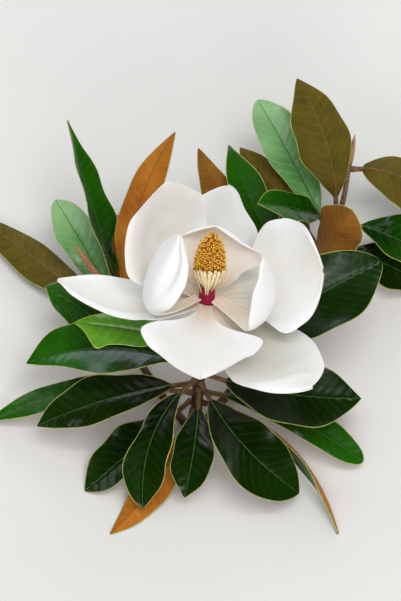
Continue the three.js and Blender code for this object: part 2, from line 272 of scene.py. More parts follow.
@dataclass
class Shape:
    """Points and faces under construction, with the finish of each face."""

    points: list[np.ndarray] = field(default_factory=list)
    faces: list[tuple[int, ...]] = field(default_factory=list)
    finishes: list[int] = field(default_factory=list)
    maps: list[list[tuple[float, float]]] = field(default_factory=list)
    values: dict[str, np.ndarray] = field(default_factory=dict)
    count: int = 0

    def add_points(self, points: np.ndarray) -> int:
        """Adds points.

        Args:
            points: rows of three coordinates, in millimetres.

        Returns:
            The number of the first one.
        """
        first = self.count
        self.points.append(np.asarray(points, float).reshape(-1, 3))
        self.count += len(self.points[-1])
        return first

    def add_face(self, corners: tuple[int, ...], finish: int) -> None:
        """Adds one face with the number of its finish."""
        self.faces.append(corners)
        self.finishes.append(finish)

    def add_rings(self, rings: np.ndarray, finish: list[int] | int, start: int | None = None,
                  tip: int | None = None) -> None:
        """Adds a closed tube of rings, with a fan of faces at each end.

        Args:
            rings: stations by corners by coordinates.
            finish: the finish of every face, or of each column of faces.
            start: the finish of the fan that closes the first ring, the tube's own if None.
            tip: the finish of the fan that closes the last ring, the tube's own if None.
        """
        stations, size = rings.shape[:2]
        columns = [finish] * size if isinstance(finish, int) else finish
        first = self.add_points(rings)
        pairs = [(j, (j + 1) % size) for j in range(size)]
        for row in range(first, first + (stations - 1) * size, size):
            for j, k in pairs:
                self.add_face((row + j, row + k, row + size + k, row + size + j), columns[j])
        for ring, cap in ((0, start), (stations - 1, tip)):
            hub = self.add_points(rings[ring].mean(axis=0))
            row = first + ring * size
            for j, k in pairs:
                edge = (row + j, row + k) if ring else (row + k, row + j)
                self.add_face((*edge, hub), columns[j] if cap is None else cap)

    def repaint(self, faces: Iterable[int], finish: int) -> None:
        """Gives some of the faces another finish."""
        for face in faces:
            self.finishes[face] = finish


def make_piece(name: str, node: str, shape: Shape, materials: list[bpy.types.Material],
               sharp: float | None = None) -> bpy.types.Object:
    """Writes a shape into the scene as one object in metres, in the place of its solid.

    Args:
        name: the piece's name.
        node: the solid that it stands for.
        shape: its points and faces.
        materials: its finishes, in the order that its faces number them.
        sharp: edges that turn by more than this many degrees stay sharp, none if None.

    Returns:
        The finished piece.
    """
    mesh = bpy.data.meshes.new(name)
    points = (np.concatenate(shape.points) - FOOTPRINT_CENTRE) * METRE
    mesh.from_pydata(points.tolist(), [], shape.faces)
    mesh.polygons.foreach_set("material_index", shape.finishes)
    mesh.polygons.foreach_set("use_smooth", [True] * len(shape.faces))
    for title, numbers in shape.values.items():
        layer = mesh.attributes.new(title, "FLOAT", "POINT")
        layer.data.foreach_set("value", np.asarray(numbers, np.float32).ravel())
    for material in materials:
        mesh.materials.append(material)
    if shape.maps:
        layer = mesh.uv_layers.new(name=BAKE_MAP)
        layer.data.foreach_set("uv", [x for face in shape.maps for pair in face for x in pair])
    mesh.update()
    mesh.validate()
    if sharp is not None:
        mesh.set_sharp_from_angle(angle=math.radians(sharp))
    piece = bpy.data.objects.new(name, mesh)
    bpy.context.scene.collection.objects.link(piece)
    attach(piece, BODY)
    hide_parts(node)
    LOG.info("%s: %d faces for %s", piece.name, len(piece.data.polygons), node)
    return piece


# ------------------------------------------------------------------ finishes


def colour(code: str) -> tuple[float, float, float, float]:
    """Turns six hex digits, as a screen shows them, into the renderer's even scale."""
    parts = [int(code[i:i + 2], 16) / 255 for i in (0, 2, 4)]
    return (*(p / 12.92 if p <= 0.04045 else ((p + 0.055) / 1.055) ** 2.4 for p in parts), 1.0)


Feed = float | str | tuple | bpy.types.NodeSocket


class Recipe:
    """One material under construction."""

    def __init__(self, name: str) -> None:
        """Starts a plain material.

        Args:
            name: the material's name.
        """
        self.material = bpy.data.materials.new(name)
        self.material.use_nodes = True
        self.tree = self.material.node_tree
        self.shader = self.tree.nodes["Principled BSDF"]

    def feed(self, node: bpy.types.Node, socket: str | int, value: Feed) -> None:
        """Links a socket to an output, or sets its constant.

        Args:
            node: whose socket it is.
            socket: the socket's name or number.
            value: the output, the constant or a colour code.
        """
        target = node.inputs[socket]
        if isinstance(value, bpy.types.NodeSocket):
            self.tree.links.new(value, target)
        else:
            target.default_value = colour(value) if isinstance(value, str) else value

    def add(self, kind: str, feeds: dict[str | int, Feed], **settings: object) -> bpy.types.Node:
        """Adds a node.

        Args:
            kind: the type of node.
            feeds: what goes into its sockets.
            **settings: its own settings.

        Returns:
            The node.
        """
        node = self.tree.nodes.new(kind)
        for key, value in settings.items():
            setattr(node, key, value)
        for socket, value in feeds.items():
            self.feed(node, socket, value)
        return node

    def place(self) -> bpy.types.NodeSocket:
        """The place on the piece, in metres."""
        return self.add("ShaderNodeTexCoord", {}).outputs["Object"]

    def read(self, title: str) -> bpy.types.NodeSocket:
        """A named value at the points of the mesh."""
        return self.add("ShaderNodeAttribute", {}, attribute_name=title).outputs["Fac"]

    def grain(self, scale: float, detail: float = 3.0, vector: Feed | None = None) -> bpy.types.NodeSocket:
        """Noise of so many cells to the metre, from 0 to 1."""
        feeds = {"Vector": vector or self.place(), "Scale": scale, "Detail": detail}
        return self.add("ShaderNodeTexNoise", feeds).outputs[0]

    def cells(self, scale: float, feature: str = "F1") -> bpy.types.NodeSocket:
        """The distance in a pattern of cells, so many to the metre."""
        feeds = {"Vector": self.place(), "Scale": scale}
        return self.add("ShaderNodeTexVoronoi", feeds, feature=feature).outputs["Distance"]

    def span(self, value: Feed, low: float, high: float, start: float = 0.0,
             end: float = 1.0) -> bpy.types.NodeSocket:
        """Stretches a value that goes from low to high, to go from start to end and no further."""
        return self.add("ShaderNodeMapRange", {0: value, 1: low, 2: high, 3: start, 4: end}).outputs[0]

    def patches(self, scale: float, detail: float = 3.0, start: float = 0.0, end: float = 1.0,
                low: float = 0.3, high: float = 0.7) -> bpy.types.NodeSocket:
        """Noise whose part between low and high goes from start to end."""
        return self.span(self.grain(scale, detail), low, high, start, end)

    def blend(self, share: Feed, first: Feed, second: Feed) -> bpy.types.NodeSocket:
        """Mixes two colours by a share."""
        feeds = {0: share, MIX_FIRST: first, MIX_SECOND: second}
        return self.add("ShaderNodeMix", feeds, data_type="RGBA").outputs[MIX_RESULT]

    def join(self, first: Feed, second: Feed, operation: str = "ADD") -> bpy.types.NodeSocket:
        """Joins two values by a plain operation."""
        return self.add("ShaderNodeMath", {0: first, 1: second}, operation=operation).outputs[0]

    def times(self, first: Feed, second: Feed) -> bpy.types.NodeSocket:
        """Multiplies two values."""
        return self.join(first, second, "MULTIPLY")

    def relief(self, height: Feed, depth: float, strength: float) -> None:
        """Gives the surface a fine relief, over what it has.

        Args:
            height: the relief, from 0 to 1.
            depth: its real depth in metres.
            strength: how much of it shows.
        """
        bump = self.add("ShaderNodeBump", {"Height": height, "Distance": depth, "Strength": strength})
        for link in self.shader.inputs["Normal"].links:
            self.feed(bump, "Normal", link.from_socket)
        self.feed(self.shader, "Normal", bump.outputs[0])

    def surface(self, **feeds: Feed) -> bpy.types.Material:
        """Sets the shader's sockets, by their names with underscores.

        Args:
            **feeds: what goes into each socket.

        Returns:
            The finished material.
        """
        for key, value in feeds.items():
            self.feed(self.shader, key.replace("_", " ").title().replace("Ior", "IOR"), value)
        return self.material


def side_veins(recipe: Recipe) -> bpy.types.NodeSocket:
    """Draws the side veins of a leaf where its vein count passes a whole number.

    Args:
        recipe: the recipe to add to.

    Returns:
        The veins, from 0 to 1.
    """
    between = recipe.join(recipe.read("veins"), 0.0, "FRACT")
    swing = recipe.join(recipe.times(between, 2.0), 1.0, "SUBTRACT")
    lines = recipe.span(recipe.join(swing, 0.0, "ABSOLUTE"), 0.7, 1.0)
    return recipe.times(lines, recipe.read("vein_strength"))


@dataclass(frozen=True)
class Finish:
    """A finish that a subclass mixes."""

    name: str

    def make(self) -> bpy.types.Material:
        """Builds the material."""
        return self.mix(Recipe(self.name))

    def mix(self, recipe: Recipe) -> bpy.types.Material:
        """Adds the finish to an empty recipe."""
        raise NotImplementedError


@dataclass(frozen=True)
class GlossyLeaf(Finish):
    """The waxed upper side of a leaf, with paler side veins."""

    deep: str
    fresh: str
    vein: str
    roughness: float = 0.2

    def mix(self, recipe: Recipe) -> bpy.types.Material:
        """Mixes a green that is darker at the foot and lighter towards the tip, painted shade at the foot.

        Args:
            recipe: the recipe to add to.

        Returns:
            The finished material.
        """
        # Painted shade: the leaf's green darkens towards its foot and lightens towards its tip.
        along = recipe.span(recipe.read("share"), 0.1, 0.9, 0.1, 0.95)
        green = recipe.blend(recipe.join(recipe.patches(38, 4, -0.25, 0.25), along), self.deep, self.fresh)
        veins = recipe.times(side_veins(recipe), recipe.patches(160, 3, 0.1, 0.42))
        green = recipe.blend(veins, green, self.vein)
        net = recipe.cells(620, "DISTANCE_TO_EDGE")
        recipe.relief(recipe.span(net, 0.0, 0.25), depth=0.00006, strength=0.35)
        recipe.relief(recipe.grain(210, 2), depth=0.00035, strength=0.4)
        worn = recipe.patches(70, 3, self.roughness - 0.05, self.roughness + 0.09)
        return recipe.surface(base_color=green, roughness=worn, specular_ior_level=0.38)


@dataclass(frozen=True)
class FeltedLeaf(Finish):
    """The felted lower side of a leaf."""

    deep: str
    light: str
    vein: str

    def mix(self, recipe: Recipe) -> bpy.types.Material:
        """Mixes a patchy rust with a fine nap.

        Args:
            recipe: the recipe to add to.

        Returns:
            The finished material.
        """
        rust = recipe.blend(recipe.patches(55, 5), self.deep, self.light)
        nap = recipe.patches(1700, 2, low=0.25, high=0.75)
        rust = recipe.blend(recipe.times(nap, 0.3), rust, self.light)
        rust = recipe.blend(recipe.times(side_veins(recipe), 0.2), rust, self.vein)
        recipe.relief(recipe.grain(900, 3), depth=0.00025, strength=0.6)
        return recipe.surface(base_color=rust, roughness=0.7, specular_ior_level=0.3,
                              sheen_weight=0.06, sheen_roughness=0.45)


@dataclass(frozen=True)
class PlainTissue(Finish):
    """A plant surface of two near tones with a fine grain."""

    deep: str
    light: str
    roughness: float
    scale: float = 260.0
    depth: float = 0.00012
    glow: float = 0.0

    def mix(self, recipe: Recipe) -> bpy.types.Material:
        """Mixes the two tones, the lighter one smoother.

        Args:
            recipe: the recipe to add to.

        Returns:
            The finished material.
        """
        tone = recipe.patches(self.scale)
        recipe.relief(recipe.grain(self.scale * 3.5, 2), self.depth, strength=0.6)
        worn = recipe.span(tone, 0.0, 1.0, self.roughness + 0.06, self.roughness - 0.06)
        return recipe.surface(base_color=recipe.blend(tone, self.deep, self.light), roughness=worn,
                              subsurface_weight=self.glow, subsurface_radius=(0.002, 0.0012, 0.0006),
                              subsurface_scale=1.0)


@dataclass(frozen=True)
class Waxen(Finish):
    """The waxy flesh of a tepal, cream at the claw and white beyond it."""

    claw: str
    body: str
    # The grey tone of random patches and faint streaks, also used as painted shade in the middle of a
    # tepal.
    tone_and_painted_shade: str
    claw_ends: float = 0.3
    line: str = "C9A983"
    # The grey of the painted shadow over the lower half of a tepal.
    painted_shade_grey: str = "B9B7A6"

    def mix(self, recipe: Recipe) -> bpy.types.Material:
        """Mixes the white body with painted shade in its middle and over its lower half, the cream claw and
        the claw's lines.

        Args:
            recipe: the recipe to add to.

        Returns:
            The finished material.
        """
        white = recipe.blend(recipe.patches(26, 3, 0.0, 0.55, 0.35, 0.75), self.body, self.tone_and_painted_shade)
        # Painted shade: the middle of the tepal is greyed towards the shade tone, and its rims are left
        # white.
        off_middle = recipe.times(recipe.read("lane"), recipe.read("lane"))
        white = recipe.blend(recipe.span(off_middle, 0.1, 0.85, 0.6, 0.0), white, self.tone_and_painted_shade)
        length = recipe.join(recipe.read("share"), recipe.patches(60, 3, -0.05, 0.05, 0.2, 0.8))
        # Painted shadow: a dull grey over the lower half of the tepal, as strong as the tepal's own share
        # of it.
        painted_shade_share = recipe.times(recipe.read("basal_painted_shade"), recipe.span(length, 0.38, 0.74, 1.0, 0.0))
        white = recipe.blend(painted_shade_share, white, self.painted_shade_grey)
        fade = recipe.span(length, 0.04, self.claw_ends, 1.0, 0.0)
        flesh = recipe.blend(fade, white, self.claw)
        lines = recipe.add("ShaderNodeCombineXYZ", {0: recipe.read("lane"), 1: recipe.read("share")})
        drawn_out = {"Vector": lines.outputs[0], "Scale": (26.0, 1.6, 1.0)}
        streaks = recipe.grain(1.0, 2, recipe.add("ShaderNodeMapping", drawn_out).outputs[0])
        flesh = recipe.blend(recipe.span(streaks, 0.45, 0.8, 0.0, 0.22), flesh, self.tone_and_painted_shade)
        drawn = recipe.times(fade, recipe.span(streaks, 0.42, 0.62, 0.0, 0.42))
        flesh = recipe.blend(drawn, flesh, self.line)
        recipe.relief(streaks, depth=0.00035, strength=0.35)
        recipe.relief(recipe.grain(480, 2), depth=0.00012, strength=0.3)
        return recipe.surface(base_color=flesh, roughness=0.42, subsurface_weight=0.22,
                              subsurface_radius=(0.0035, 0.0026, 0.0018), subsurface_scale=1.0,
                              sheen_weight=0.06)


@dataclass(frozen=True)
class Bark(Finish):
    """Brown ridged bark with pale pores, felted towards the tips."""

    deep: str
    light: str
    felt: str

    def mix(self, recipe: Recipe) -> bpy.types.Material:
        """Mixes the brown, the felt over it and the pores.

        Args:
            recipe: the recipe to add to.

        Returns:
            The finished material.
        """
        brown = recipe.blend(recipe.patches(130, 6), self.deep, self.light)
        felted = recipe.times(recipe.read("felt"), recipe.patches(400, 3, low=0.2))
        brown = recipe.blend(felted, brown, self.felt)
        pores = recipe.times(recipe.span(recipe.cells(330), 0.0, 0.28, 1.0, 0.0),
                             recipe.patches(190, low=0.5, high=0.62))
        brown = recipe.blend(pores, brown, self.felt)
        recipe.relief(recipe.grain(750, 5), depth=0.0006, strength=0.7)
        recipe.relief(pores, depth=0.0003, strength=0.5)
        return recipe.surface(base_color=brown, roughness=0.82)


@dataclass(frozen=True)
class CutWood(Finish):
    """The pale cut face of the twig, with rings round its pith."""

    pith: str
    wood: str
    rings: float = 9.0

    def mix(self, recipe: Recipe) -> bpy.types.Material:
        """Mixes the rings and a fine grain.

        Args:
            recipe: the recipe to add to.

        Returns:
            The finished material.
        """
        rings = recipe.join(recipe.times(recipe.read("radius"), self.rings), 0.0, "SINE")
        tone = recipe.join(recipe.span(rings, -1.0, 1.0, 0.0, 0.5), recipe.patches(900, 3, 0.0, 0.5))
        recipe.relief(recipe.grain(1500, 3), depth=0.0002, strength=0.6)
        return recipe.surface(base_color=recipe.blend(tone, self.wood, self.pith), roughness=0.75)


@dataclass(frozen=True)
class PaleFloor(Finish):
    """A plain pale studio floor with the faintest grain."""

    tone: str
    white: str = "FFFFFF"

    def mix(self, recipe: Recipe) -> bpy.types.Material:
        """Mixes the floor's tone with a breath of white.

        Args:
            recipe: the recipe to add to.

        Returns:
            The finished material.
        """
        pale = recipe.blend(recipe.patches(9, 4, 0.0, 0.05), self.tone, self.white)
        recipe.relief(recipe.grain(600, 2), depth=0.00008, strength=0.3)
        return recipe.surface(base_color=pale, roughness=0.75)


class LeafTone(Enum):
    """How the upper side of a leaf has ripened: deep tone, fresh tone and vein tone."""

    DEEP = ("leaf top deep green", "051000", "142F02", "2A4610")
    RIPE = ("leaf top ripe green", "082200", "225E03", "2E6E10")
    FRESH = ("leaf top fresh green", "3A7A2A", "8CBA7E", "96C288")
    LIME = ("leaf top lime green", "2F6A0C", "5E9A1E", "86AE3E")


class FeltTone(Enum):
    """How the lower side of a leaf is tinted: deep tone, light tone and vein tone."""

    ORANGE = ("leaf felt orange rust", "9C540C", "BA7416", "CE8E3C")
    RUST = ("leaf felt brown rust", "74460A", "986418", "B4803A")
    OLIVE = ("leaf felt olive brown", "484000", "665602", "84741C")


class Palette:
    """Every finish, made once and dealt out to the pieces."""

    def __init__(self) -> None:
        """Builds the finishes."""
        self.tops = {tone: GlossyLeaf(*tone.value).make() for tone in LeafTone}
        self.felts = {tone: FeltedLeaf(*tone.value).make() for tone in FeltTone}
        self.rib_top = PlainTissue("midrib above", "1E4A0C", "3F7020", 0.4).make()
        self.rib_felt = PlainTissue("midrib below", "643818", "8E5A34", 0.7).make()
        self.margin = PlainTissue("leaf margin", "8A9A3A", "C2C468", 0.45).make()
        self.petiole = PlainTissue("petiole", "4E351C", "8A6A3C", 0.7).make()
        # The third colour of each tepal finish is both a random grey tone and the painted shade in the
        # tepal's middle.
        self.tepal_face = Waxen("tepal face", "F1E1CB", "FDFDFC", "E3DFD6").make()
        self.inner_face = Waxen("inner tepal face", "F0DFCA", "F7F2EB", "EEE6DB", 0.42).make()
        self.tepal_back = Waxen("tepal back", "F0E2CE", "FDFDFD", "F3F2EF", 0.2).make()
        self.tepal_rim = PlainTissue("tepal rim", "F3ECDD", "FEFBF4", 0.5, 200.0, glow=0.2).make()
        self.crimson = PlainTissue("crimson receptacle", "84022F", "C2064A", 0.6, 1100.0, 0.0003).make()
        self.blush = PlainTissue("pale foot of the receptacle", "D9A9A0", "F0CDBE", 0.55).make()
        self.strap = PlainTissue("stamen strap", "F3D99E", "FDF0CC", 0.5, 420.0, glow=0.15).make()
        # The edge faces of the straps are darkened: partly their own tan outline, partly painted shade
        # between the straps.
        self.strap_edge_and_painted_shade = PlainTissue("stamen edge and painted shade", "96621C", "C99A48", 0.55, 420.0).make()
        self.gold = PlainTissue("carpel gold", "E8A010", "FFD65A", 0.32, 700.0, glow=0.15).make()
        self.amber = PlainTissue("carpel amber", "C06C08", "EBA522", 0.4, 700.0).make()
        self.umber = PlainTissue("carpel umber", "8A430A", "B86A12", 0.6, 700.0).make()
        self.bark = Bark("twig bark", "3A2417", "6E4A30", "9A7650").make()
        self.cut = CutWood("cut wood", "CDB184", "E7D6AE").make()
        self.bud = PlainTissue("bud felt", "8A5A3C", "C39468", 0.75, 420.0, 0.0003).make()
        self.seam = PlainTissue("bud seam", "2E1B10", "543320", 0.8).make()
        self.floor = PaleFloor("pale floor", "E4E2DD").make()


# ------------------------------------------------------------------ blades


@dataclass(frozen=True)
class Outline:
    """How a blade widens from its foot to its widest place and narrows to its tip."""

    widest: float
    foot: float
    tip: float

    def width(self, t: np.ndarray) -> np.ndarray:
        """The share of the full width.

        Args:
            t: places along the blade, from 0 to 1.

        Returns:
            The share at each place.
        """
        near = np.clip(t / self.widest, 0.0, 1.0)
        far = np.clip((t - self.widest) / (1.0 - self.widest), 0.0, 1.0)
        before = np.sin(QUARTER * near) ** self.foot
        after = np.cos(QUARTER * far) ** self.tip
        return np.where(t < self.widest, before, after)


@dataclass(frozen=True)
class Lobe:
    """A place where one side of a blade is wider than the plain outline, or narrower."""

    lane: int
    at: float
    amount: float
    spread: float = 0.13


def widened(lobes: tuple[Lobe, ...], along: np.ndarray, lanes: np.ndarray) -> np.ndarray:
    """Adds up the shares by which lobes widen their sides of a blade.

    Args:
        lobes: the lobes.
        along: how far each station is along the blade.
        lanes: stations by lanes, from -1 to 1.

    Returns:
        The added share of the half width at each station and lane.
    """
    added = np.zeros(lanes.shape)
    for lobe in lobes:
        same_side = (lanes < 0) == (lobe.lane < 0)
        added += same_side * lobe.amount * hump(along, lobe.at, lobe.spread)[:, None]
    return added


@dataclass
class BladeGrid:
    """The stations and lanes of a blade, worked out on its curve."""

    curve: Curve
    shares: np.ndarray
    lanes: np.ndarray
    half: np.ndarray
    cup: np.ndarray | float
    fold: np.ndarray | float
    roll: np.ndarray | float
    side: np.ndarray | None = None
    least_cup: float = 1e-4

    def __post_init__(self) -> None:
        """Works out the frame at each station."""
        every = self.shares.shape
        along = self.curve.tangent(self.shares)
        if self.side is None:
            right = np.cross(along, UP)
        else:
            right = self.side - (along @ self.side)[:, None] * along
        self.right = turned(unit(right), along, np.broadcast_to(self.roll, every))
        self.normal = np.cross(self.right, along)
        self.centre = self.curve.at(self.shares)
        cup = np.broadcast_to(np.maximum(self.cup, self.least_cup), every)[:, None]
        folded = np.broadcast_to(self.fold, every)[:, None] * self.half * np.abs(self.lanes)
        self.across = self.half / cup * np.sin(cup * self.lanes)
        self.height = self.half / cup * (1.0 - np.cos(cup * self.lanes)) + folded
        self.run = np.broadcast_to((self.shares * self.curve.length)[:, None], self.lanes.shape)

    def skin(self, lift: np.ndarray) -> np.ndarray:
        """The points of a skin that stands off the middle of the blade by lift."""
        raised = self.normal[:, None, :] * (self.height + lift)[..., None]
        return self.centre[:, None, :] + self.right[:, None, :] * self.across[..., None] + raised


def mirrored(side: np.ndarray) -> np.ndarray:
    """Lays lanes from 0 to 1 out to both sides of the midrib."""
    return np.concatenate([-side[:, ::-1], np.zeros((len(side), 1)), side], axis=1)


def closed(top: np.ndarray, under: np.ndarray) -> np.ndarray:
    """Joins two skins, or the values on them, into rings that share their edges."""
    return np.concatenate([top, under[:, -2:0:-1]], axis=1)


def toward_edge(lanes: np.ndarray, start: float) -> np.ndarray:
    """Rises ever faster from 0 at the lane start to 1 at the edges of a blade."""
    return np.clip((np.abs(lanes) - start) / (1.0 - start), 0.0, 1.0) ** 2


def lens(lanes: np.ndarray, rim: np.ndarray, edge: float) -> np.ndarray:
    """The share of a blade's thickness, down to edge outwards and rounded off past the lane rim."""
    past = np.clip((np.abs(lanes) - rim) / (1.0 - rim), 0.0, 1.0)
    return lerp(edge, 1.0, np.cos(QUARTER * lanes)) * np.sqrt(1.0 - past**2)


def sealed(top: np.ndarray, under: np.ndarray) -> np.ndarray:
    """Brings the edges of two skins together and joins the skins into rings."""
    top[:, [0, -1]] = 0.5 * (top[:, [0, -1]] + under[:, [0, -1]])
    return closed(top, under)


def on_points(values: np.ndarray, foot: float = 0.0, tip: float = 0.0) -> np.ndarray:
    """Lays values at stations and lanes out by the points of a closed blade and its two ends."""
    return np.append(closed(values, values), [foot, tip])


def above_floor(rings: np.ndarray) -> np.ndarray:
    """Lifts each ring that would sink into the floor until it lies on it."""
    rings[..., 2] -= np.minimum(0.0, rings[..., 2].min(axis=1))[:, None]
    return rings


def blade_stations(count: int, spacing: float = 0.95) -> np.ndarray:
    """So many stations from 0 to just short of 1, which crowd towards both ends of a blade."""
    return 0.5 - 0.5 * np.cos(math.pi * (np.arange(count) / count) ** spacing)


def blade_columns(lanes: int) -> list[tuple[int, bool]]:
    """The lane that each column of a blade's faces starts on, and whether it is an upper one."""
    return [(j, True) if j < lanes - 1 else (2 * lanes - 3 - j, False) for j in range(2 * lanes - 2)]


def blade_maps(shape: Shape, stations: int, lanes: int) -> None:
    """Lays a closed blade out flat for the bake: upper skin below, lower skin above.

    Args:
        shape: the blade, made of rings with a fan at each end.
        stations: how many rings it has.
        lanes: how many lanes each skin has.
    """

    def spot(row: float, lane: float, upper: bool) -> tuple[float, float]:
        """The flat place of a row and a lane on one of the skins."""
        y = lerp(MAP_EDGE, 0.5 - MAP_EDGE, lane / (lanes - 1)) + (0.0 if upper else 0.5)
        return (lerp(MAP_EDGE, 1.0 - MAP_EDGE, row / stations), y)

    edges = [(j, j + 1, True) if upper else (j + 1, j, False) for j, upper in blade_columns(lanes)]
    for i in range(stations - 1):
        for j, k, upper in edges:
            shape.maps.append([spot(i, j, upper), spot(i, k, upper), spot(i + 1, k, upper),
                               spot(i + 1, j, upper)])
    for row, hub_row in ((0, 0), (stations - 1, stations)):
        for j, k, upper in edges:
            near, far = (j, k) if row else (k, j)
            shape.maps.append([spot(row, near, upper), spot(row, far, upper),
                               spot(hub_row, 0.5 * (lanes - 1), upper)])


# ------------------------------------------------------------------ twig and shoots


class BarkSkin(IntEnum):
    """The finishes of a limb, in the order of its materials."""

    BARK = 0
    CUT = 1


@dataclass(frozen=True)
class Scar:
    """A ring that a fallen stipule left on the bark, with the swelling under a petiole."""

    share: float
    towards: np.ndarray


@dataclass
class Limb:
    """A round tapering limb with bark."""

    name: str
    curve: Curve
    start: float
    end: float
    felt_from: float
    seed: int
    scars: list[Scar] = field(default_factory=list)
    stations: int = 300
    sides: int = 40
    ridge: float = 0.28
    ridge_cell: float = 1.3
    ridge_stretch: float = 7.0
    wrinkle: float = 0.16
    wrinkle_cell: float = 1.1
    inset: float = 0.15
    scar_rim: float = 0.32
    scar_groove: float = 0.2
    swelling: float = 0.5
    sharp: float = 50.0

    def radius(self, share: np.ndarray | float) -> np.ndarray | float:
        """The radius at a share of the length."""
        return lerp(self.start, self.end, share)

    def shape(self) -> Shape:
        """Builds the bark.

        Returns:
            The shape, with the values that its finish reads.
        """
        shares = np.linspace(0.0, 1.0, self.stations)
        angles = circle(self.sides)
        spoke = spokes(self.curve, shares, angles)
        run = (shares * self.curve.length)[:, None]
        x, y = np.cos(angles) * self.start, np.sin(angles) * self.start
        relief = self.ridge * noise(coordinates(x, y, run / self.ridge_stretch), self.ridge_cell, self.seed)
        relief = relief + self.wrinkle * noise(coordinates(x, y, run), self.wrinkle_cell, self.seed + 1)
        for scar in self.scars:
            gap = run - scar.share * self.curve.length
            lobe = np.clip(spoke @ scar.towards, 0.0, 1.0) ** 3
            relief = relief + self.scar_rim * hump(gap, 1.6, 0.45) - self.scar_groove * hump(gap, 2.5, 0.4)
            relief = relief + self.swelling * lobe * hump(gap, -0.6, 2.4)
        reach = self.radius(shares)[:, None] - self.inset + relief
        rings = above_floor(self.curve.at(shares)[:, None, :] + spoke * reach[..., None])
        felt = np.broadcast_to(ease(shares, self.felt_from, 1.0)[:, None], relief.shape)
        shape = Shape(values={"felt": np.append(felt, [0.0, 1.0]), "radius": np.append(reach, [0.0, 0.0])})
        shape.add_rings(rings, BarkSkin.BARK, start=BarkSkin.CUT, tip=BarkSkin.BARK)
        return shape

    def build(self, palette: Palette) -> bpy.types.Object:
        """Builds and dresses the limb."""
        return make_piece(f"{self.name}_bark", self.name, self.shape(),
                          [palette.bark, palette.cut], self.sharp)


Place = tuple[float, float, float]


@dataclass
class Framework:
    """The twig with its stalk, and the two shoots that fork from it."""

    stalk: float = 91.0
    torus_gap: float = 1.0
    stalk_shares: tuple[float, ...] = (1.0, 0.66, 0.27)
    twig: tuple[Place, ...] = ((-13.0, -117.0, 5.0), (-11.0, -92.0, 5.0), (-9.0, -68.0, 6.0))
    left: tuple[Place, ...] = (
        (-15.5, -61.0, 5.5), (-40.0, -28.0, 3.9), (-60.0, 6.0, 8.0), (-70.0, 34.0, 26.0),
        (-86.0, 50.0, 46.0))
    right: tuple[Place, ...] = (
        (-2.0, -60.0, 5.5), (28.0, -20.0, 4.0), (62.0, 28.0, 3.8), (94.0, 80.0, 14.0),
        (113.0, 120.0, 36.0), (120.0, 152.0, 60.0))

    def __post_init__(self) -> None:
        """Lays the three limbs out."""
        twig, left, right = ([np.array(p) for p in line] for line in (self.twig, self.left, self.right))
        twig += [FLOWER_BASE - FLOWER_AXIS * self.stalk * share for share in self.stalk_shares]
        twig.append(FLOWER_BASE - FLOWER_AXIS * self.torus_gap)
        self.limbs = {
            "twig": Limb("twig", through(twig), 5.0, 4.3, felt_from=0.7, seed=11),
            "left_shoot": Limb("left_shoot", through(left), 3.6, 2.2, felt_from=0.35, seed=23),
            "right_shoot": Limb("right_shoot", through(right), 3.6, 2.2, felt_from=0.45, seed=37),
        }


# ------------------------------------------------------------------ leaves


@dataclass(frozen=True)
class LeafPlan:
    """One leaf: where it sits on its shoot, where it ends and how it lies."""

    number: int
    at: float
    tip: Place
    width: float
    arch: float
    sweep: float
    roll: float = 0.0
    top: LeafTone = LeafTone.DEEP
    felt: FeltTone = FeltTone.RUST
    outline: Outline = Outline(0.5, 0.9, 0.85)
    fold: float = 0.12
    lobes: tuple[Lobe, ...] = ()
    petiole: float = 18.0

    @property
    def node(self) -> str:
        """The name of the solid that it stands for."""
        return f"leaf_{self.number:02d}"


DEEP, RIPE, FRESH, LIME = LeafTone
ORANGE, RUST, OLIVE = FeltTone

BLUNT = Outline(0.66, 0.85, 0.8)
OVAL = Outline(0.58, 0.8, 0.9)

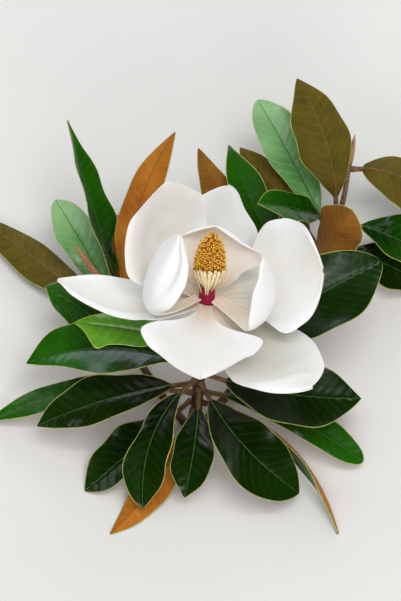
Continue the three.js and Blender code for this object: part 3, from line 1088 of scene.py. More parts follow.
LEAVES = {
    "twig": [
        LeafPlan(7, 38, (-104, -9, 92), 30, 0, 2, -10, LIME, RUST, Outline(0.55, 0.8, 1.1), 0.3,
                 (Lobe(-1, 0.8, 0.95, 0.1), Lobe(1, 0.7, -0.2, 0.2))),
        LeafPlan(19, 56, (141, 53, 75), 63, 8, 2, 0, DEEP, RUST, Outline(0.55, 0.9, 0.6), 0.12,
                 (Lobe(1, 0.68, 0.2, 0.2),)),
        LeafPlan(8, 66, (-144, -23, 44), 43, 12, 11, 0, RIPE, RUST, Outline(0.6, 0.85, 0.95), 0.34,
                 (Lobe(-1, 0.34, 0.6, 0.22), Lobe(-1, 0.85, -0.2, 0.15))),
        LeafPlan(17, 68, (124, -51, 38), 56, 6, 9, 0, DEEP, RUST, OVAL),
        LeafPlan(12, 74, (-50, -134, 12), 35, 12, 13, 0, DEEP, RUST, BLUNT, 0.3,
                 (Lobe(-1, 0.36, 0.2, 0.2), Lobe(1, 0.42, -0.26, 0.2))),
        LeafPlan(15, 76, (74, -121, 10), 53, 14, 12, 0, DEEP, RUST, BLUNT, 0.12,
                 (Lobe(-1, 0.76, -0.2, 0.14),)),
        LeafPlan(10, 80, (-135, -70, 26), 40, 8, 3, 0, DEEP, RUST, OVAL, 0.26),
        LeafPlan(14, 82, (-17, -126, 14), 34, 8, -3, 0, DEEP, RUST, OVAL, 0.2),
        LeafPlan(18, 88, (126, -94, 8), 27, 6, -8, 0, RIPE, RUST, Outline(0.72, 0.85, 0.5)),
        LeafPlan(9, 90, (-180, -57, 0), 30, 12, 8, 20, RIPE),
        LeafPlan(11, 96, (-97, -116, 0), 35, 3, 0, 0, DEEP, RUST, BLUNT, 0.24,
                 (Lobe(-1, 0.5, -0.25, 0.25), Lobe(1, 0.38, 0.34, 0.26))),
        LeafPlan(16, 98, (105, -152, 0), 24, 10, -22, 100, RIPE, ORANGE),
        LeafPlan(13, 102, (-76, -152, 0), 28, 1, -8, 180, DEEP, ORANGE),
    ],
    "left_shoot": [
        LeafPlan(1, 22, (-114, 175, 90), 36, 6, 0, 45, RIPE, RUST, Outline(0.3, 0.7, 1.15), 0.3,
                 (Lobe(1, 0.17, -0.5, 0.12), Lobe(-1, 0.15, -0.2, 0.12))),
        LeafPlan(2, 34, (-125, 124, 46), 34, 4, 0, 0, FRESH, RUST, Outline(0.6, 0.8, 0.62), 0.1),
        LeafPlan(4, 40, (-85, 125, 34), 34, 2, 5, 180, DEEP, RUST),
        LeafPlan(3, 46, (-25, 164, 90), 31, 8, -14, 180, DEEP, ORANGE, lobes=(Lobe(1, 0.2, -0.2, 0.1),)),
        LeafPlan(5, 50, (-203, 136, 0), 33, 8, 0, 180, DEEP, OLIVE),
        LeafPlan(6, 62, (-130, 39, 58), 38, 4, 0, 0, RIPE, RUST, OVAL, 0.2),
    ],
    "right_shoot": [
        LeafPlan(26, 5, (204, 97, 30), 46, 14, -14, 180, RIPE, OLIVE, Outline(0.5, 0.6, 0.85), petiole=9.0),
        LeafPlan(25, 46, (75, 204, 108), 48, 12, 5, 180, RIPE, OLIVE),
        LeafPlan(28, 50, (194, 86, 0), 44, 14, 0, 0, RIPE),
        LeafPlan(21, 54, (42, 101, 84), 37, 3, 3, 0, RIPE, RUST, OVAL, 0.3,
                 (Lobe(1, 0.55, -0.38, 0.3), Lobe(-1, 0.7, 0.1, 0.2))),
        LeafPlan(27, 62, (44, 211, 62), 40, 4, 0, 0, FRESH, RUST, Outline(0.62, 0.8, 0.6)),
        LeafPlan(29, 70, (187, 66, 0), 42, 6, 0, 0, DEEP),
        LeafPlan(24, 78, (29, 174, 46), 38, 6, 0, 180, DEEP, OLIVE),
        LeafPlan(20, 100, (118, 93, 88), 54, 4, 2, 180, DEEP, RUST, Outline(0.55, 0.8, 0.68), 0.12,
                 (Lobe(1, 0.45, -0.03, 0.2), Lobe(-1, 0.6, -0.24, 0.3))),
        LeafPlan(22, 116, (19, 162, 72), 32, 4, -6, 0, RIPE, RUST, OVAL, 0.26),
        LeafPlan(23, 136, (-6, 160, 70), 34, 4, -6, 180, DEEP, RUST),
    ],
}


class LeafSkin(IntEnum):
    """The finishes of a leaf, in the order of its materials."""

    TOP = 0
    FELT = 1
    RIB_TOP = 2
    RIB_FELT = 3
    MARGIN = 4
    PETIOLE = 5


@dataclass
class Leaf:
    """A leaf on its petiole: a cupped pointed blade with a midrib and side veins."""

    plan: LeafPlan
    limb: Limb
    thickness: float = 2.2
    edge_share: float = 0.24
    petiole_radius: float = 2.0
    point_radius: float = 0.35
    thins_over: float = 0.25
    opens_over: float = 0.05
    cup: float = math.radians(14)
    twist: float = 5.0
    stations: int = 150
    lanes_each_side: int = 14
    rib_width: float = 0.45
    rib_tapers: tuple[float, float] = (1.2, 0.45)
    rib_beside: float = 1.9
    rib_limit: float = 0.3
    margin_width: float = 0.6
    margin_limit: float = 0.16
    margin_lanes: tuple[float, float] = (0.55, 1.0)
    groove: float = 0.45
    groove_width: float = 1.1
    ridge: float = 0.75
    ridge_width: float = 1.3
    ridge_at_tip: float = 0.4
    relief_grows: tuple[float, float] = (2.5, 9.0)
    relief_ends: float = 0.8
    vein_spacing: float = 8.5
    vein_slant: float = 0.62
    vein_bend: float = 0.012
    vein_wander: float = 0.22
    wander_cell: float = 17.0
    quilt: float = 0.1
    quilt_below: float = 0.08
    ruffle: float = 1.5
    ruffles: tuple[float, float] = (2.2, 3.4)
    ruffle_step: float = 1.4
    ruffle_starts: float = 0.4
    wavers: float = 2.6
    waver: float = 0.045
    waver_step: float = 0.37
    waver_grows: tuple[float, float] = (0.05, 0.3)
    foot_flare: float = 0.35
    flare_length: float = 3.5
    sunk_foot: float = 1.0

    def __post_init__(self) -> None:
        """Finds the leaf's seat on the bark and the curve that it follows."""
        plan = self.plan
        place = 1.0 - plan.at / self.limb.curve.length
        node = self.limb.curve.at(place)
        bough = self.limb.curve.tangent(place)
        chord = np.array(plan.tip, float) - node
        level = unit(np.cross(chord, UP))
        over = unit(np.cross(level, chord))
        handle = node + 0.5 * chord + 2 * plan.arch * over + 2 * plan.sweep * level
        heading = unit(handle - node)
        self.outward = unit(heading - bough * float(heading @ bough))
        slant = math.sqrt(max(0.0, 1.0 - float(heading @ self.outward) ** 2))
        off_bark = self.limb.radius(place) + SEAT_GAP + self.petiole_radius * slant
        self.curve = bezier(node + self.outward * off_bark, handle, node + chord)
        self.limb.scars.append(Scar(place, self.outward))
        self.random = random.Random(plan.node)

    def _lanes(self, half: np.ndarray, along: np.ndarray) -> np.ndarray:
        """Where the lanes of the blade run: close to the midrib, evenly out, and along the margin.

        Args:
            half: the half width at each station.
            along: how far each station is along the blade.

        Returns:
            Stations by lanes, from -1 to 1.
        """
        rib = np.minimum(self.rib_limit, self.rib_width * lerp(*self.rib_tapers, along) / half)[:, None]
        inner = 1.0 - np.minimum(self.margin_limit, self.margin_width / half)[:, None]
        middle = lerp(self.rib_beside * rib, inner, np.linspace(0.0, 1.0, self.lanes_each_side - 4))
        outer = lerp(inner, 1.0, np.array(self.margin_lanes))
        return mirrored(np.concatenate([rib, middle, outer], axis=1))

    def _width(self, half: np.ndarray, along: np.ndarray, lanes: np.ndarray) -> np.ndarray:
        """The half width with the lobes of each side and a slow waver.

        Args:
            half: the plain half width at each station.
            along: how far each station is along the blade.
            lanes: stations by lanes, from -1 to 1.

        Returns:
            The half width at each station and lane.
        """
        phase = TURN * (self.wavers * along + self.waver_step * self.plan.number)
        sway = self.waver * np.sin(phase[:, None] + np.where(lanes < 0, -1, 1))
        lobes = widened(self.plan.lobes, along, lanes) * (along > 0.0)[:, None]
        return half[:, None] * (1.0 + lobes + sway * ease(along, *self.waver_grows)[:, None])

    def _veins(self, grid: BladeGrid) -> np.ndarray:
        """Counts the side veins from the foot.

        Args:
            grid: the blade's grid.

        Returns:
            The count at each station and lane, a whole number on a vein.
        """
        across = grid.across
        offset = np.where(across > 0, self.random.random(), self.random.random())
        wander = noise(coordinates(grid.run, across, 0.0), self.wander_cell, self.plan.number)
        ahead = self.vein_slant * np.abs(across) + self.vein_bend * across**2
        return (grid.run - ahead) / self.vein_spacing + offset + self.vein_wander * wander

    def shape(self) -> Shape:
        """Builds the leaf.

        Returns:
            The shape, with the values that its finish reads.
        """
        t = blade_stations(self.stations)
        bare = self.plan.petiole / self.curve.length
        along = np.clip((t - bare) / (1.0 - bare), 0.0, 1.0)
        least = lerp(self.petiole_radius, self.point_radius, ease(along, 0.5, 1.0))
        half = lerp(least, self.plan.width / 2, self.plan.outline.width(along))
        half = np.where(t <= bare, self.petiole_radius, half)
        lanes = self._lanes(half, along)
        opened = ease(along, 0.0, self.opens_over)
        phase = self.random.uniform(0.0, TURN)
        twist = math.radians(self.random.uniform(-self.twist, self.twist)) * np.sin(math.pi * t)
        grid = BladeGrid(self.curve, t, lanes, self._width(half, along, lanes), self.cup * opened,
                         self.plan.fold * opened, math.radians(self.plan.roll) + twist)
        veins = self._veins(grid)
        spread = ((t > bare) * ease(half, *self.relief_grows))[:, None]
        off_margin = ease(np.abs(lanes), 1.0, self.relief_ends)
        swelling = (2.0 * np.sin(math.pi * (veins % 1.0)) - 1.0) * off_margin * spread
        count = self.random.uniform(*self.ruffles)
        ripple = np.sin(TURN * count * t[:, None] + phase + self.ruffle_step * np.sign(lanes))
        ripple = self.ruffle * ripple * toward_edge(lanes, self.ruffle_starts) * spread
        ripple = ripple * np.sin(math.pi * t)[:, None]
        round_stalk = np.sqrt(1.0 - lanes**2)
        body = lerp(round_stalk, lens(lanes, lanes[:, -3:-2], self.edge_share), opened[:, None])
        thin = np.clip(along / self.thins_over, 0.0, 1.0)
        body = 0.5 * lerp(2 * self.petiole_radius, self.thickness, thin)[:, None] * body
        groove = self.groove * hump(grid.across, 0.0, self.groove_width) * spread
        ridge = self.ridge * hump(grid.across, 0.0, self.ridge_width) * spread
        ridge = ridge * lerp(1.0, self.ridge_at_tip, along)[:, None]
        rings = sealed(grid.skin(ripple + body + self.quilt * swelling - groove),
                       grid.skin(ripple - body + self.quilt_below * swelling - ridge))
        flare = self.foot_flare * hump(t * self.curve.length, 0.0, self.flare_length)[:, None, None]
        rings = rings + (rings - grid.centre[:, None, :]) * flare
        rings = above_floor(np.concatenate([rings[:1] - self.outward * self.sunk_foot, rings]))
        strength = off_margin * spread
        shares = np.broadcast_to(along[:, None], lanes.shape)
        shape = Shape(values={
            "veins": on_points(np.concatenate([veins[:1], veins])),
            "vein_strength": on_points(np.concatenate([strength[:1], strength])),
            "share": on_points(np.concatenate([shares[:1], shares]), tip=1.0),
        })
        self._deal(shape, rings, lanes.shape[1], int(np.searchsorted(t, bare)) + 1)
        blade_maps(shape, len(rings), lanes.shape[1])
        return shape

    def _deal(self, shape: Shape, rings: np.ndarray, lanes: int, stem: int) -> None:
        """Adds the rings and deals out the finishes: petiole, skins, midrib and margin.

        Args:
            shape: the shape to add to.
            rings: the leaf's rings.
            lanes: how many lanes each skin has.
            stem: how many stretches from the foot are petiole.
        """
        columns = []
        for lane, upper in blade_columns(lanes):
            if lane in (0, 1, lanes - 3, lanes - 2):
                columns.append(LeafSkin.MARGIN)
            elif lane in (lanes // 2 - 1, lanes // 2):
                columns.append(LeafSkin.RIB_TOP if upper else LeafSkin.RIB_FELT)
            else:
                columns.append(LeafSkin.TOP if upper else LeafSkin.FELT)
        shape.add_rings(rings, columns, start=LeafSkin.PETIOLE)
        shape.repaint(range(stem * len(columns)), LeafSkin.PETIOLE)

    def build(self, palette: Palette) -> bpy.types.Object:
        """Builds and dresses the leaf.

        Args:
            palette: the finishes.

        Returns:
            The finished piece.
        """
        plan = self.plan
        finishes = [palette.tops[plan.top], palette.felts[plan.felt], palette.rib_top,
                    palette.rib_felt, palette.margin, palette.petiole]
        return make_piece(f"{plan.node}_blade", plan.node, self.shape(), finishes)


# ------------------------------------------------------------------ tepals


@dataclass(frozen=True)
class Roll:
    """A rim that rolls over: up with a positive lift, down with a negative one."""

    lane: int
    start: float
    end: float
    lift: float
    width: float = 0.3
    fades_over: float = 0.12

    def height(self, lanes: np.ndarray, shares: np.ndarray) -> np.ndarray:
        """How far the rim stands off the tepal's plain cup.

        Args:
            lanes: stations by lanes, from -1 to 1.
            shares: how far each of them is along the tepal.

        Returns:
            The height at each station and lane.
        """
        near = ease(lanes * self.lane, 1.0 - self.width, 1.0)
        starts = ease(shares, self.start, self.start + self.fades_over)
        return self.lift * near * starts * ease(shares, self.end, self.end - self.fades_over)


@dataclass(frozen=True)
class Swell:
    """A soft rise, or a hollow where its height is negative."""

    at: float
    lane: float
    lift: float
    along: float = 0.12
    across: float = 0.4
    slant: float = 0.0

    def height(self, lanes: np.ndarray, shares: np.ndarray) -> np.ndarray:
        """How far the swell stands off the tepal's plain cup."""
        centre = self.at + self.slant * (lanes - self.lane)
        return self.lift * hump(shares, centre, self.along) * hump(lanes, self.lane, self.across)


@dataclass(frozen=True)
class TepalPlan:
    """One tepal: its foot, its direction round the axis, its tip and its forms."""

    name: str
    at: float
    bearing: float
    opens: float
    handle: float
    reach: float
    rise: float
    width: float
    cup: float
    outline: Outline
    roll: float = 0.0
    drift: float = 0.0
    lobes: tuple[Lobe, ...] = ()
    forms: tuple[Roll | Swell, ...] = ()
    notch: float = 0.0
    ruffle: float = 0.4
    # How strongly painted shadow greys the lower half of the tepal.
    basal_painted_shade: float = 0.0

    @property
    def node(self) -> str:
        """The name of the solid that it stands for."""
        return f"tepal_{self.name}"


# Tepals that lie in the shadow of others carry a share of painted shadow over the lower half of their faces
# and backs.
TEPALS = [
    TepalPlan("outer_left", 1, 181.7, 98.6, 69.4, 115.9, 20.8, 48.7, 25.5, Outline(0.504, 0.61, 0.82),
              lobes=(Lobe(-1, 0.3, 0.2), Lobe(-1, 0.5, -0.06), Lobe(-1, 0.7, -0.17), Lobe(1, 0.7, 0.07),
                     Lobe(1, 0.85, 0.1)),
              forms=(Roll(-1, 0.35, 1.0, -3.0), Swell(0.6, -0.3, -1.5, 0.3, 0.3)), basal_painted_shade=0.2),
    TepalPlan("outer_back", 1, 80.5, 83, 56.8, 80.9, 58.5, 62.4, 9.5, Outline(0.538, 1.25, 0.43), 19.6, 1.3,
              lobes=(Lobe(-1, 0.85, 0.2), Lobe(-1, 0.95, 0.12), Lobe(1, 0.7, 0.11), Lobe(1, 0.85, -0.24)),
              forms=(Roll(1, 0.5, 1.1, -4.0, 0.35), Swell(0.8, 0.1, -2.0, 0.15, 0.4)), basal_painted_shade=0.4),
    TepalPlan("outer_right", 1, 312.2, 108.8, 53.9, 116.1, -5.3, 83.7, 12.8,
              Outline(0.619, 1.38, 0.38), -1, -2.6,
              lobes=(Lobe(-1, 0.85, -0.09), Lobe(-1, 0.95, 0.08)),
              forms=(Swell(0.6, 0.0, -5.0, 0.16, 0.8, -0.12), Swell(0.84, 0.2, 2.5, 0.08, 0.9, -0.1),
                     Roll(1, 0.5, 1.1, -3.0, 0.2)), notch=6.0, basal_painted_shade=0.85),
    TepalPlan("middle_left", 4, 135.1, 78.4, 54.3, 55.1, 84.7, 91.6, 30.3,
              Outline(0.48, 1.71, 0.36), -11.6, 4.9,
              lobes=(Lobe(-1, 0.3, 0.17), Lobe(-1, 0.85, 0.16), Lobe(-1, 0.95, -0.09), Lobe(1, 0.5, -0.22),
                     Lobe(1, 0.7, -0.11), Lobe(1, 0.85, 0.16)),
              forms=(Roll(-1, 0.3, 0.9, -2.5, 0.16), Swell(0.55, -0.3, -2.5, 0.2, 0.3))),
    TepalPlan("middle_right", 4, 19.1, 81.4, 55.2, 80.9, 40.5, 100.2, 24.5,
              Outline(0.705, 2.09, 0.29), 16.3, 30.4,
              lobes=(Lobe(-1, 0.24, -0.45, 0.16), Lobe(-1, 0.5, 0.12), Lobe(-1, 0.85, -0.11),
                     Lobe(-1, 0.95, 0.16), Lobe(1, 0.3, 0.21), Lobe(1, 0.5, 0.1),
                     Lobe(1, 0.85, -0.1), Lobe(1, 0.95, 0.14)),
              forms=(Swell(0.62, -0.25, -3.5, 0.18, 0.35), Roll(-1, 0.55, 1.1, -2.5, 0.2),
                     Roll(1, 0.5, 1.1, -2.0, 0.15)), basal_painted_shade=0.5),
    TepalPlan("middle_front", 4, 262.4, 83.7, 55.6, 100.7, 9.3, 88.8, 24,
              Outline(0.602, 2.84, 0.54), -3.1, -6,
              lobes=(Lobe(-1, 0.3, -0.19), Lobe(-1, 0.5, 0.12), Lobe(1, 0.3, -0.11), Lobe(1, 0.5, 0.1)),
              forms=(Roll(-1, 0.7, 1.1, 3.5, 0.22), Roll(1, 0.4, 0.85, -2.0, 0.2))),
    TepalPlan("inner_back", 8.4, 79.4, 46, 50, 25, 57.5, 87, 46, Outline(0.48, 1.1, 0.33), 0, -1,
              lobes=(Lobe(-1, 0.8, 0.12), Lobe(1, 0.75, 0.08), Lobe(-1, 0.95, 0.35, 0.06),
                     Lobe(1, 0.95, 0.35, 0.06), Lobe(1, 0.3, -0.25)),
              forms=(Roll(1, 0.15, 0.6, -2.5, 0.25), Roll(-1, 0.15, 0.6, -2.0, 0.25))),
    TepalPlan("inner_left", 8.4, 207.6, 106.4, 84, 28.4, 76.1, 50, 59.4, Outline(0.687, 2.16, 0.6), 7.2,
              lobes=(Lobe(1, 0.5, -0.12), Lobe(1, 0.68, -0.07), Lobe(1, 0.85, 0.18), Lobe(-1, 0.3, -0.35),
                     Lobe(1, 0.25, -0.35)),
              forms=(Swell(0.78, -0.42, 5.2, 0.18, 0.2), Swell(0.95, -0.75, -2.2, 0.05, 0.4),
                     Swell(0.55, 0.15, 2.0, 0.08, 0.35), Roll(1, 0.35, 0.8, -1.5, 0.15))),
    TepalPlan("inner_right", 8.4, 330.4, 103, 75.5, 44.5, 66, 49, 34, Outline(0.636, 1.48, 0.7), 9, 1.6,
              lobes=(Lobe(-1, 0.3, -0.5, 0.2), Lobe(-1, 0.65, 0.08), Lobe(1, 0.4, 0.2), Lobe(1, 0.6, 0.3),
                     Lobe(1, 0.85, 0.22)),
              forms=(Swell(0.9, 0.85, -2.0, 0.05, 0.3), Roll(-1, 0.4, 0.95, -1.5, 0.15))),
]


class TepalSkin(IntEnum):
    """The finishes of a tepal, in the order of its materials."""

    FACE = 0
    BACK = 1
    RIM = 2


@dataclass
class Tepal:
    """A thick waxy tepal on a narrow claw."""

    plan: TepalPlan
    torus_radius: float = 6.2
    thickness: float = 1.5
    edge_thickness: float = 0.7
    claw_width: float = 11.0
    tip_taper: float = 0.25
    stations: int = 96
    lanes_each_side: int = 19
    rim_width: float = 1.0
    rim_lanes: tuple[float, float, float] = (0.45, 0.8, 1.0)
    rim_limit: float = 0.12
    least_half: float = 0.001
    waves: float = 1.8
    wave_starts: float = 0.45
    wave_grows: tuple[float, float] = (0.2, 0.6)
    bulge: float = 0.9
    bulge_cell: float = 24.0
    bulge_grows: tuple[float, float] = (0.1, 0.4)
    rib: float = 0.14
    rib_cell: float = 12.0
    rib_stretch: float = 5.0
    rib_ends: float = 0.85
    pleats: float = 3.5
    pleat_depth: float = 0.32
    pleat_wander: float = 0.12
    pleat_cell: float = 9.0
    pleat_fades: tuple[float, float] = (0.42, 0.08)
    pleat_ends: float = 0.9
    notch_width: float = 0.16
    notch_grows: tuple[float, float] = (0.8, 1.0)

    def __post_init__(self) -> None:
        """Finds the curve that the tepal follows, in the flower's own frame."""
        plan = self.plan
        slope = math.radians(plan.opens)
        out, left = round_axis(math.radians(plan.bearing))
        self.side = -left
        seat = self.torus_radius + SEAT_GAP + 0.5 * self.thickness * abs(math.cos(slope))
        foot = out * seat + UP * plan.at
        handle = foot + out * plan.handle * math.sin(slope) + UP * plan.handle * math.cos(slope)
        self.curve = bezier(foot, handle, out * plan.reach + UP * plan.rise + self.side * plan.drift)
        self.random = random.Random(plan.node)

    def _relief(self, grid: BladeGrid) -> np.ndarray:
        """The tepal's own forms, with waves, bulges, ribs and the pleats of its claw.

        Args:
            grid: the tepal's grid.

        Returns:
            The height at each station and lane.
        """
        lanes, off_middle = grid.lanes, np.abs(grid.lanes)
        shares = np.broadcast_to(grid.shares[:, None], lanes.shape)
        relief = sum(form.height(lanes, shares) for form in self.plan.forms)
        phase = self.random.uniform(0.0, TURN)
        wave = np.sin(TURN * self.waves * shares + phase + np.sign(lanes)) * ease(shares, *self.wave_grows)
        relief = relief + self.plan.ruffle * wave * toward_edge(lanes, self.wave_starts)
        seed = self.random.randrange(1000)
        flat = coordinates(grid.across, grid.run, 0.0)
        bulges = noise(flat, self.bulge_cell, seed) * ease(shares, *self.bulge_grows)
        relief = relief + self.bulge * bulges
        ribs = noise(flat * (self.rib_stretch, 1.0, 1.0), self.rib_cell, seed + 1)
        relief = relief + self.rib * ribs * ease(off_middle, 1.0, self.rib_ends)
        wander = self.pleat_wander * noise(flat, self.pleat_cell, seed + 2)
        pleats = np.cos(TURN * (self.pleats * lanes + wander)) * ease(off_middle, 1.0, self.pleat_ends)
        return relief + self.pleat_depth * pleats * ease(shares, *self.pleat_fades)

    def shape(self) -> Shape:
        """Builds the tepal.

        Returns:
            The shape, with the values that its finish reads.
        """
        plan = self.plan
        t = blade_stations(self.stations)
        spread = lerp(self.claw_width, plan.width, plan.outline.width(t)) / 2
        tail = Outline(plan.outline.widest, plan.outline.foot, self.tip_taper)
        half = spread * tail.width(np.maximum(t, plan.outline.widest))
        rim = 1.0 - np.minimum(self.rim_limit, self.rim_width / np.maximum(half, self.least_half))[:, None]
        even = np.linspace(0.0, 1.0, self.lanes_each_side - 2)[1:]
        lanes = mirrored(np.concatenate([rim * even, lerp(rim, 1.0, np.array(self.rim_lanes))], axis=1))
        wide = half[:, None] * (1.0 + widened(plan.lobes, t, lanes))
        grid = BladeGrid(self.curve, t, lanes, wide, math.radians(plan.cup), 0.0,
                         math.radians(plan.roll), self.side)
        relief = self._relief(grid)
        body = 0.5 * self.thickness * lens(lanes, rim, self.edge_thickness / self.thickness)
        shares = np.broadcast_to(t[:, None], lanes.shape)
        back = plan.notch * hump(lanes, 0.0, self.notch_width) * ease(shares, *self.notch_grows)
        rings = sealed(grid.skin(relief + body), grid.skin(relief - body))
        rings = rings - self.curve.tangent(t)[:, None, :] * closed(back, back)[..., None]
        count = lanes.shape[1]
        columns = []
        for lane, upper in blade_columns(count):
            skin = TepalSkin.FACE if upper else TepalSkin.BACK
            columns.append(TepalSkin.RIM if lane < 2 or lane > count - 4 else skin)
        shape = Shape(values={
            "share": on_points(shares, tip=1.0),
            "lane": on_points(lanes),
            # Each point carries the tepal's share of painted shadow.
            "basal_painted_shade": on_points(np.full(lanes.shape, plan.basal_painted_shade), plan.basal_painted_shade, plan.basal_painted_shade),
        })
        shape.add_rings(flower_to_layout(rings), columns)
        blade_maps(shape, self.stations, count)
        return shape

    def build(self, palette: Palette) -> bpy.types.Object:
        """Builds and dresses the tepal.

        Args:
            palette: the finishes.

        Returns:
            The finished piece.
        """
        node = self.plan.node
        face = palette.inner_face if self.plan.name.startswith("inner") else palette.tepal_face
        finishes = [face, palette.tepal_back, palette.tepal_rim]
        return make_piece(f"{node}_petal", node, self.shape(), finishes)


# ------------------------------------------------------------------ the flower's centre


class CoreSkin(IntEnum):
    """The finishes of the receptacle, in the order of its materials."""

    CRIMSON = 0
    BLUSH = 1


@dataclass
class Receptacle:
    """The crimson core that carries the tepals, studded with the scars of stamens."""

    radius: float = 6.2
    collar: float = 9.0
    neck: float = 6.0
    top: float = 26.0
    pale_foot: float = 2.9
    rolled_foot: float = 1.2
    ring: float = 0.5
    ring_at: float = 2.2
    ring_width: float = 1.6
    stations: int = 90
    sides: int = 96
    stud: float = 0.42
    stud_size: float = 1.15
    studs_start: tuple[float, float] = (3.4, 5.0)

    def shape(self) -> Shape:
        """Builds the receptacle.

        Returns:
            The shape.
        """
        heights = np.linspace(0.0, self.top, self.stations)[:, None]
        angles = circle(self.sides)
        reach = lerp(self.radius, self.neck, ease(heights, self.collar, self.top)) - self.stud
        reach = reach + self.ring * hump(heights, self.ring_at, self.ring_width)
        reach = reach - self.rolled_foot * hump(heights, 0.0, 1.0)
        row = np.floor(heights / self.stud_size)
        turn = angles * self.radius / self.stud_size + 0.5 * (row % 2)
        bead = np.abs(np.sin(math.pi * turn)) * np.abs(np.sin(math.pi * heights / self.stud_size))
        reach = reach + self.stud * (2 * np.sqrt(bead) - 1) * ease(heights, *self.studs_start)
        shape = Shape()
        points = coordinates(reach * np.cos(angles), reach * np.sin(angles), heights)
        shape.add_rings(flower_to_layout(points), CoreSkin.CRIMSON)
        pale = int(np.searchsorted(heights[:, 0], self.pale_foot)) * self.sides
        shape.repaint(range(pale), CoreSkin.BLUSH)
        return shape

    def build(self, palette: Palette) -> bpy.types.Object:
        """Builds and dresses the receptacle."""
        return make_piece("torus_flesh", "torus", self.shape(), [palette.crimson, palette.blush])


class StrapSkin(IntEnum):
    """The finishes of a stamen, in the order of its materials."""

    STRAP = 0
    EDGE = 1


@dataclass
class Stamens:
    """Two rows of cream straps that stand round the receptacle and flare outwards."""

    count: int = 28
    profile: tuple[tuple[float, float], ...] = (
        (6.5, 18.5), (8.8, 26.0), (11.4, 33.0), (13.6, 39.0), (14.4, 45.0))
    rows: tuple[float, float] = (0.75, -0.1)
    outer_feet: tuple[float, ...] = (-0.14, -0.02, 0.05, 0.1)
    inner_feet: tuple[float, float] = (0.04, 0.2)
    heads: tuple[float, float] = (0.9, 1.0)
    shuffle: float = 0.16
    scatter: float = 0.2
    sway: float = 0.06
    seat: float = 6.1
    foot_width: float = 1.3
    head_width: float = 3.2
    thickness: float = 0.8
    squareness: float = 0.7
    edge_starts: float = 0.82
    shorter_behind: float = 0.34
    stations: int = 18
    sides: int = 10

    def _strap(self, shape: Shape, bearing: float, offset: float, low: float, high: float,
               lean: float) -> None:
        """Adds one strap.

        Args:
            shape: the shape to add to.
            bearing: its direction round the axis.
            offset: how far it stands out from the plain profile.
            low: the share of the profile where its pointed foot starts.
            high: the share where it ends.
            lean: how far its head leans round the axis, in radians.
        """
        line = Curve(np.array([[r, 0.0, h] for r, h in self.profile]))
        share = np.linspace(low, high, self.stations)
        spots = line.at(np.clip(share, 0.0, 1.0))
        height = spots[:, 2] + np.minimum(share, 0.0) * line.length
        step = (share - low) / (high - low)
        radial = lerp(self.seat, spots[:, 0] + offset, ease(step, -0.1, 0.42))
        out, side = round_axis(bearing + lean * step**2)
        centre = out * radial[:, None] + UP * height[:, None]
        face = unit(np.cross(side, unit(np.gradient(centre, axis=0))))
        width = lerp(self.foot_width, self.head_width, ease(step, 0.0, 0.75)) / 2
        width = width * ease(step, -0.12, 0.16) * np.sqrt(np.maximum(1 - ease(step, 0.88, 1.04) ** 2, 0.02))
        thick = 0.5 * self.thickness * ease(step, -0.1, 0.14) * lerp(1.0, 0.75, ease(step, 0.9, 1.0))
        turn = circle(self.sides)
        flat, dome = (np.sign(x) * np.abs(x) ** self.squareness for x in (np.cos(turn), np.sin(turn)))
        rings = (centre[:, None, :] + side[:, None, :] * (width[:, None] * flat)[..., None]
                 + face[:, None, :] * (thick[:, None] * dome)[..., None])
        middle = np.abs(np.cos(turn + math.pi / self.sides))
        # The edge faces take the darker finish: the straps' tan outline and painted shade between them.
        columns = [StrapSkin.STRAP if x < self.edge_starts else StrapSkin.EDGE for x in middle]
        shape.add_rings(flower_to_layout(rings), columns)

    def shape(self) -> Shape:
        """Builds both rows.

        Returns:
            The shape.
        """
        dice = random.Random("stamens")
        shape = Shape()
        for row, offset in enumerate(self.rows):
            for i in range(self.count):
                bearing = TURN * (i + 0.5 * row + dice.uniform(-self.shuffle, self.shuffle)) / self.count
                low = dice.uniform(*self.inner_feet) if row else dice.choice(self.outer_feet)
                behind = 1.0 - max(0.0, -math.sin(bearing))
                high = dice.uniform(*self.heads) - self.shorter_behind * behind
                lean = dice.uniform(-self.sway, self.sway)
                out = offset + dice.uniform(-self.scatter, self.scatter)
                self._strap(shape, bearing, out, low, high, lean)
        return shape

    def build(self, palette: Palette) -> bpy.types.Object:
        """Builds and dresses the stamens."""
        finishes = [palette.strap, palette.strap_edge_and_painted_shade]
        return make_piece("stamens_straps", "stamens", self.shape(), finishes)


class ConeSkin(IntEnum):
    """The finishes of the cone, in the order of its materials."""

    GOLD = 0
    AMBER = 1
    UMBER = 2


